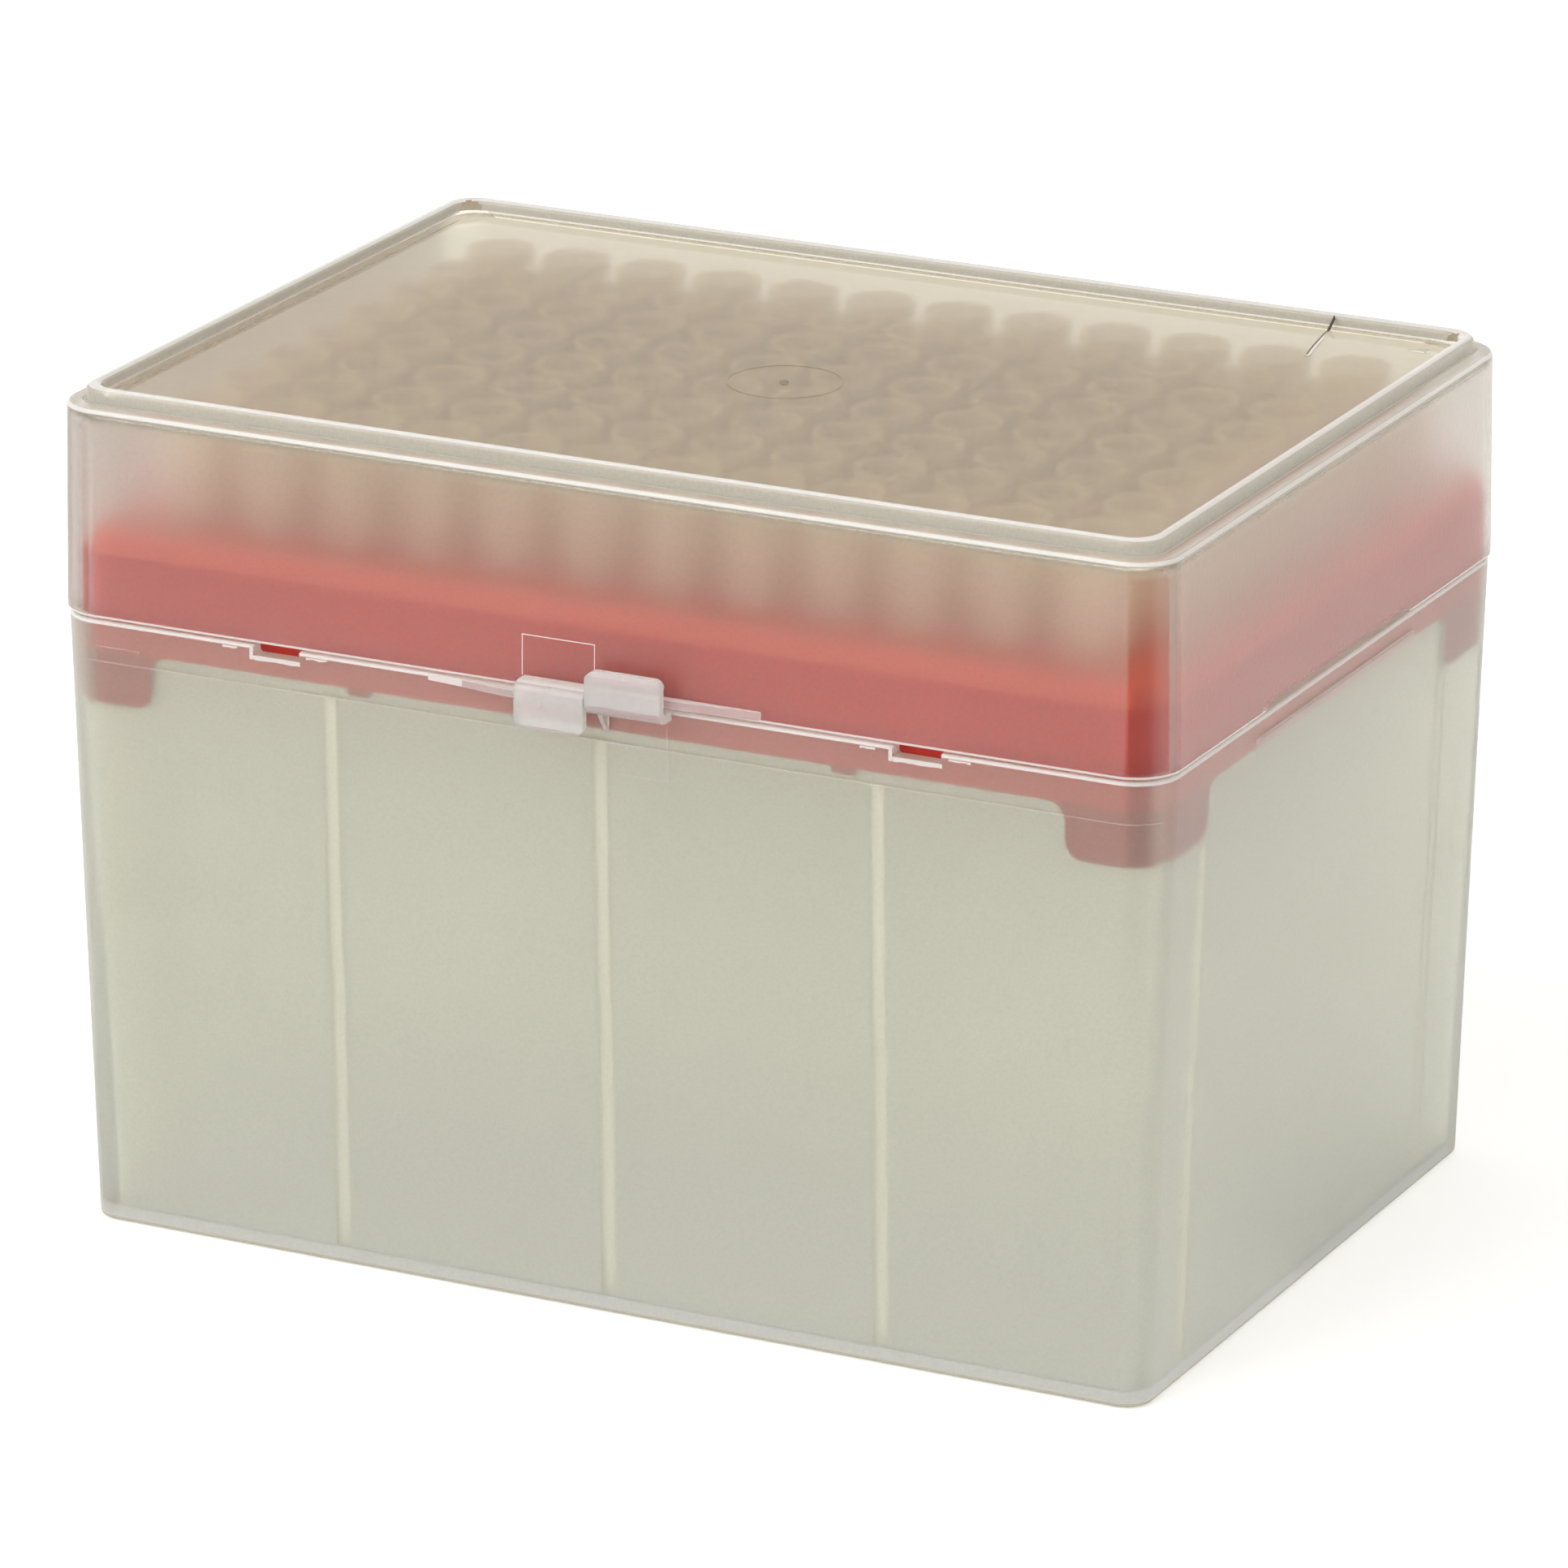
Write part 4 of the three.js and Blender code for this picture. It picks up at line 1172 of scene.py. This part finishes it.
def tub_material(centre, normal):
    inset = tub_inset(centre.z)
    deep = depth(centre)
    if is_latch(centre):
        return EDGE_PAINTED_HIGHLIGHT if is_edge_on(normal) else LATCH_CLEAR
    if is_hinge(centre):
        return LATCH_CLEAR
    # The plinth gets a painted highlight and the rounded bottom edge painted shade.
    if centre.z < PLINTH + BOTTOM_ROUND:
        return EDGE_PAINTED_HIGHLIGHT if centre.z < PLINTH else BOTTOM_EDGE_SHADE
    if centre.z < FOOT_TOP and deep < inset + 0.05:
        return TUB_FOOT
    # Faces proud of the tub's wall get a painted highlight.
    if deep < inset - 0.02:
        return LINE_PAINTED_HIGHLIGHT if centre.z < RIM - 1.8 else EDGE_PAINTED_HIGHLIGHT
    # The tub's rounded rim edge gets a painted highlight.
    if centre.z > RIM - EDGE_ROUND and deep < inset + TUB_WALL * 0.8:
        return EDGE_PAINTED_HIGHLIGHT
    if deep > inset + TUB_WALL / 2:
        return RIB_EDGE if is_rib(centre) or is_wall_step(centre, normal) else TUB_INSIDE
    return TUB_OUTSIDE


def rack_material(centre, normal):
    """The red, with a darker copy as painted shade at the rounded corners, where they are seen through the
    corners of the box.
    """
    at_outside = depth(centre) < RACK_INSET + 1.0 and centre.z < DECK_TOP - 1
    return RED_CORNER_SHADE if at_outside and is_round_corner(normal) else RED


def tip_material(centre, normal):
    return TIP_CLEAR if centre.z > DECK_TOP else TIP_SHAFT


TUB_MATERIALS = [
    TUB_OUTSIDE, TUB_INSIDE, LATCH_CLEAR, EDGE_PAINTED_HIGHLIGHT, RIB_EDGE, LINE_PAINTED_HIGHLIGHT, BOTTOM_EDGE_SHADE, TUB_FOOT,
]
LID_MATERIALS = [
    LID_OUTSIDE, LID_INSIDE, PANEL_GLOSS, PANEL_INSIDE, LATCH_CLEAR, EDGE_PAINTED_HIGHLIGHT, LID_RIM, HAIR_DARK,
    MARK_GREY, LINE_PAINTED_SHADE, LID_CORNER_SHADE, LID_CORNER_INSIDE_SHADE,
]

# ---------- The finished pieces on their bodies ----------

tub = finished(make_tub(), "fine_tub", TUB_MATERIALS, tub_material)
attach(tub, "base")
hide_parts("tub")

lid = finished(make_lid(), "fine_lid", LID_MATERIALS, lid_material)
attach(lid, "lid")
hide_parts("lid")

rack = finished(make_rack(), "fine_rack", [RED, RED_CORNER_SHADE], rack_material)
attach(rack, "base")
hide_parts("rack", "rack_deck")

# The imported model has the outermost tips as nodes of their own. It fuses the others with the deck.
tip = make_tip()
for row, (letter, places) in enumerate(zip("abcdefgh", tip_places())):
    piece = mesh_object("tips", [], [])
    piece.data = tip.data.copy()
    piece = finished(copy_at(piece, places), f"fine_tips_row_{letter}", [TIP_CLEAR, TIP_SHAFT], tip_material)
    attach(piece, "base")
    columns = range(1, COLUMNS + 1) if row in (0, ROWS - 1) else (1, COLUMNS)
    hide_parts(*(f"tip_{letter}{column:02d}" for column in columns))
bpy.data.objects.remove(tip)

filters = finished(copy_at(make_filter(), all_tip_places()), "tip_filters", [FILTER_WHITE])
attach(filters, "base")

# ---------- Stage ----------

WARM = (1.0, 0.985, 0.945)
WHITE = (1.0, 1.0, 1.0)
AMBIENT = 0.55
FLOOR_SIZE = 3000.0
FLOOR_GLOW = 0.39
FLOOR_GLOW_THROUGH_PLASTIC = 0.36
AIM = (0, 0, 0.04)
# Name, place and size in metres, power in watts.
LAMPS = (
    ("key", (-0.45, -0.75, 0.75), (0.9, 0.9), 6.2),
    ("side", (0.95, -0.15, 0.45), (0.8, 0.8), 1.3),
    ("top", (0.0, 0.35, 1.0), (1.2, 0.8), 1.5),
)
# Name, angles from the front in degrees, colour and strength.
CARDS = (
    ("dark_card", (6, 58), (0.0, 0.0, 0.0), 0.0),
    ("bright_card", (66, 104), WARM, 3.5),
)
CARD_DISTANCE = 160.0
CARD_HEIGHTS = (-5, 75)


def largest(tree, first, second):
    maximum = tree.nodes.new("ShaderNodeMath")
    maximum.operation = "MAXIMUM"
    tree.links.new(first, maximum.inputs[0])
    tree.links.new(second, maximum.inputs[1])
    return maximum.outputs[0]


def light_ray_kinds(tree):
    """1 for rays that show the background directly, in a mirror or through the plastic."""
    path = tree.nodes.new("ShaderNodeLightPath")
    direct = largest(tree, path.outputs["Is Camera Ray"], path.outputs["Is Glossy Ray"])
    return largest(tree, direct, path.outputs["Is Transmission Ray"])


def make_world():
    """Soft light from all around, and a white background behind the object and through its plastic."""
    world = bpy.data.worlds.new("studio")
    world.use_nodes = True
    bpy.context.scene.world = world
    tree = world.node_tree
    ambient = tree.nodes["Background"]
    ambient.inputs["Color"].default_value = (*WARM, 1)
    ambient.inputs["Strength"].default_value = AMBIENT
    shown = node(tree, "ShaderNodeBackground", Strength=1.0)
    path = tree.nodes.new("ShaderNodeLightPath")
    backdrop = colour_between(tree, path.outputs["Is Camera Ray"], WARM, WHITE)
    tree.links.new(backdrop, shown.inputs["Color"])
    mix = tree.nodes.new("ShaderNodeMixShader")
    tree.links.new(light_ray_kinds(tree), mix.inputs[0])
    tree.links.new(ambient.outputs[0], mix.inputs[1])
    tree.links.new(shown.outputs[0], mix.inputs[2])
    tree.links.new(mix.outputs[0], tree.nodes["World Output"].inputs["Surface"])


def floor_paper():
    """White paper that keeps the object's shadow. A little glow lifts what the lamps leave to white."""
    material = bpy.data.materials.new("floor_paper")
    material.use_nodes = True
    tree = material.node_tree
    paper = tree.nodes["Principled BSDF"]
    paper.inputs["Base Color"].default_value = (0.92, 0.92, 0.92, 1)
    paper.inputs["Roughness"].default_value = 0.9
    paper.inputs["Specular IOR Level"].default_value = 0.1
    path = tree.nodes.new("ShaderNodeLightPath")
    glow = node(tree, "ShaderNodeEmission", Color=(1, 1, 1, 1))
    seen = number_between(tree, path.outputs["Is Camera Ray"], FLOOR_GLOW_THROUGH_PLASTIC, FLOOR_GLOW)
    lit = tree.nodes.new("ShaderNodeMath")
    lit.operation = "MULTIPLY"
    tree.links.new(light_ray_kinds(tree), lit.inputs[0])
    tree.links.new(seen, lit.inputs[1])
    tree.links.new(lit.outputs[0], glow.inputs["Strength"])
    total = tree.nodes.new("ShaderNodeAddShader")
    tree.links.new(paper.outputs[0], total.inputs[0])
    tree.links.new(glow.outputs[0], total.inputs[1])
    tree.links.new(total.outputs[0], tree.nodes["Material Output"].inputs["Surface"])
    return material


def make_floor():
    work = bmesh.new()
    bmesh.ops.create_grid(work, x_segments=24, y_segments=24, size=FLOOR_SIZE)
    mesh = bpy.data.meshes.new("floor")
    work.to_mesh(mesh)
    work.free()
    mesh.transform(Matrix.Scale(MM, 4))
    mesh.materials.append(floor_paper())
    floor = bpy.data.objects.new("floor", mesh)
    bpy.context.scene.collection.objects.link(floor)


def make_lamp(name, place, size, power):
    data = bpy.data.lights.new(name, "AREA")
    data.shape = "RECTANGLE"
    data.size, data.size_y = size
    data.energy = power
    lamp = bpy.data.objects.new(name, data)
    lamp.location = place
    lamp.rotation_euler = (Vector(AIM) - Vector(place)).to_track_quat("-Z", "Y").to_euler()
    bpy.context.scene.collection.objects.link(lamp)


def reflection_card(name, angles, colour, strength):
    """A card that only shows as a reflection in the front right corner, between two angles from the front."""
    start, end = (math.radians(angle) for angle in angles)
    low, high = CARD_HEIGHTS
    corner = Vector((HALF_X - CORNER_RADIUS, -HALF_Y + CORNER_RADIUS, 0))
    points = []
    for angle, z in ((start, low), (end, low), (end, high), (start, high)):
        away = Vector((CARD_DISTANCE * math.sin(angle), -CARD_DISTANCE * math.cos(angle), z))
        points.append((corner + away) * MM)
    card = mesh_object(name, points, [(0, 1, 2, 3)])
    material = bpy.data.materials.new(name)
    material.use_nodes = True
    tree = material.node_tree
    glow = node(tree, "ShaderNodeEmission", Color=(*colour, 1), Strength=strength)
    tree.links.new(glow.outputs[0], tree.nodes["Material Output"].inputs["Surface"])
    card.data.materials.append(material)
    card.visible_camera = False
    card.visible_diffuse = False
    card.visible_transmission = False
    card.visible_shadow = False


def make_camera():
    """The view: from the front right and a little above, through a long lens."""
    place = Vector((419.99, -852.45, 365.54)) * MM
    turn, down, roll = (math.radians(angle) for angle in (26.23541, 18.70187, 0.15856))
    data = bpy.data.cameras.new("camera")
    data.sensor_width = 36.0
    data.lens = 223.139
    data.clip_start = 0.05
    data.clip_end = 20.0
    camera = bpy.data.objects.new("camera", data)
    tilt = Matrix.Rotation(math.pi / 2 - down, 4, "X") @ Matrix.Rotation(roll, 4, "Z")
    camera.matrix_world = Matrix.Translation(place) @ Matrix.Rotation(turn, 4, "Z") @ tilt
    bpy.context.scene.collection.objects.link(camera)
    bpy.context.scene.camera = camera


make_world()
make_floor()
for card in CARDS:
    reflection_card(*card)
for lamp in LAMPS:
    make_lamp(*lamp)
make_camera()

# Light has to cross several walls of plastic, so the bounces are many. The light tree only costs time here.
scene = bpy.context.scene
scene.view_settings.view_transform = "Standard"
scene.cycles.use_light_tree = False
scene.cycles.max_bounces = 10
scene.cycles.transmission_bounces = 10
scene.cycles.diffuse_bounces = 3
scene.cycles.glossy_bounces = 3
scene.cycles.transparent_max_bounces = 24
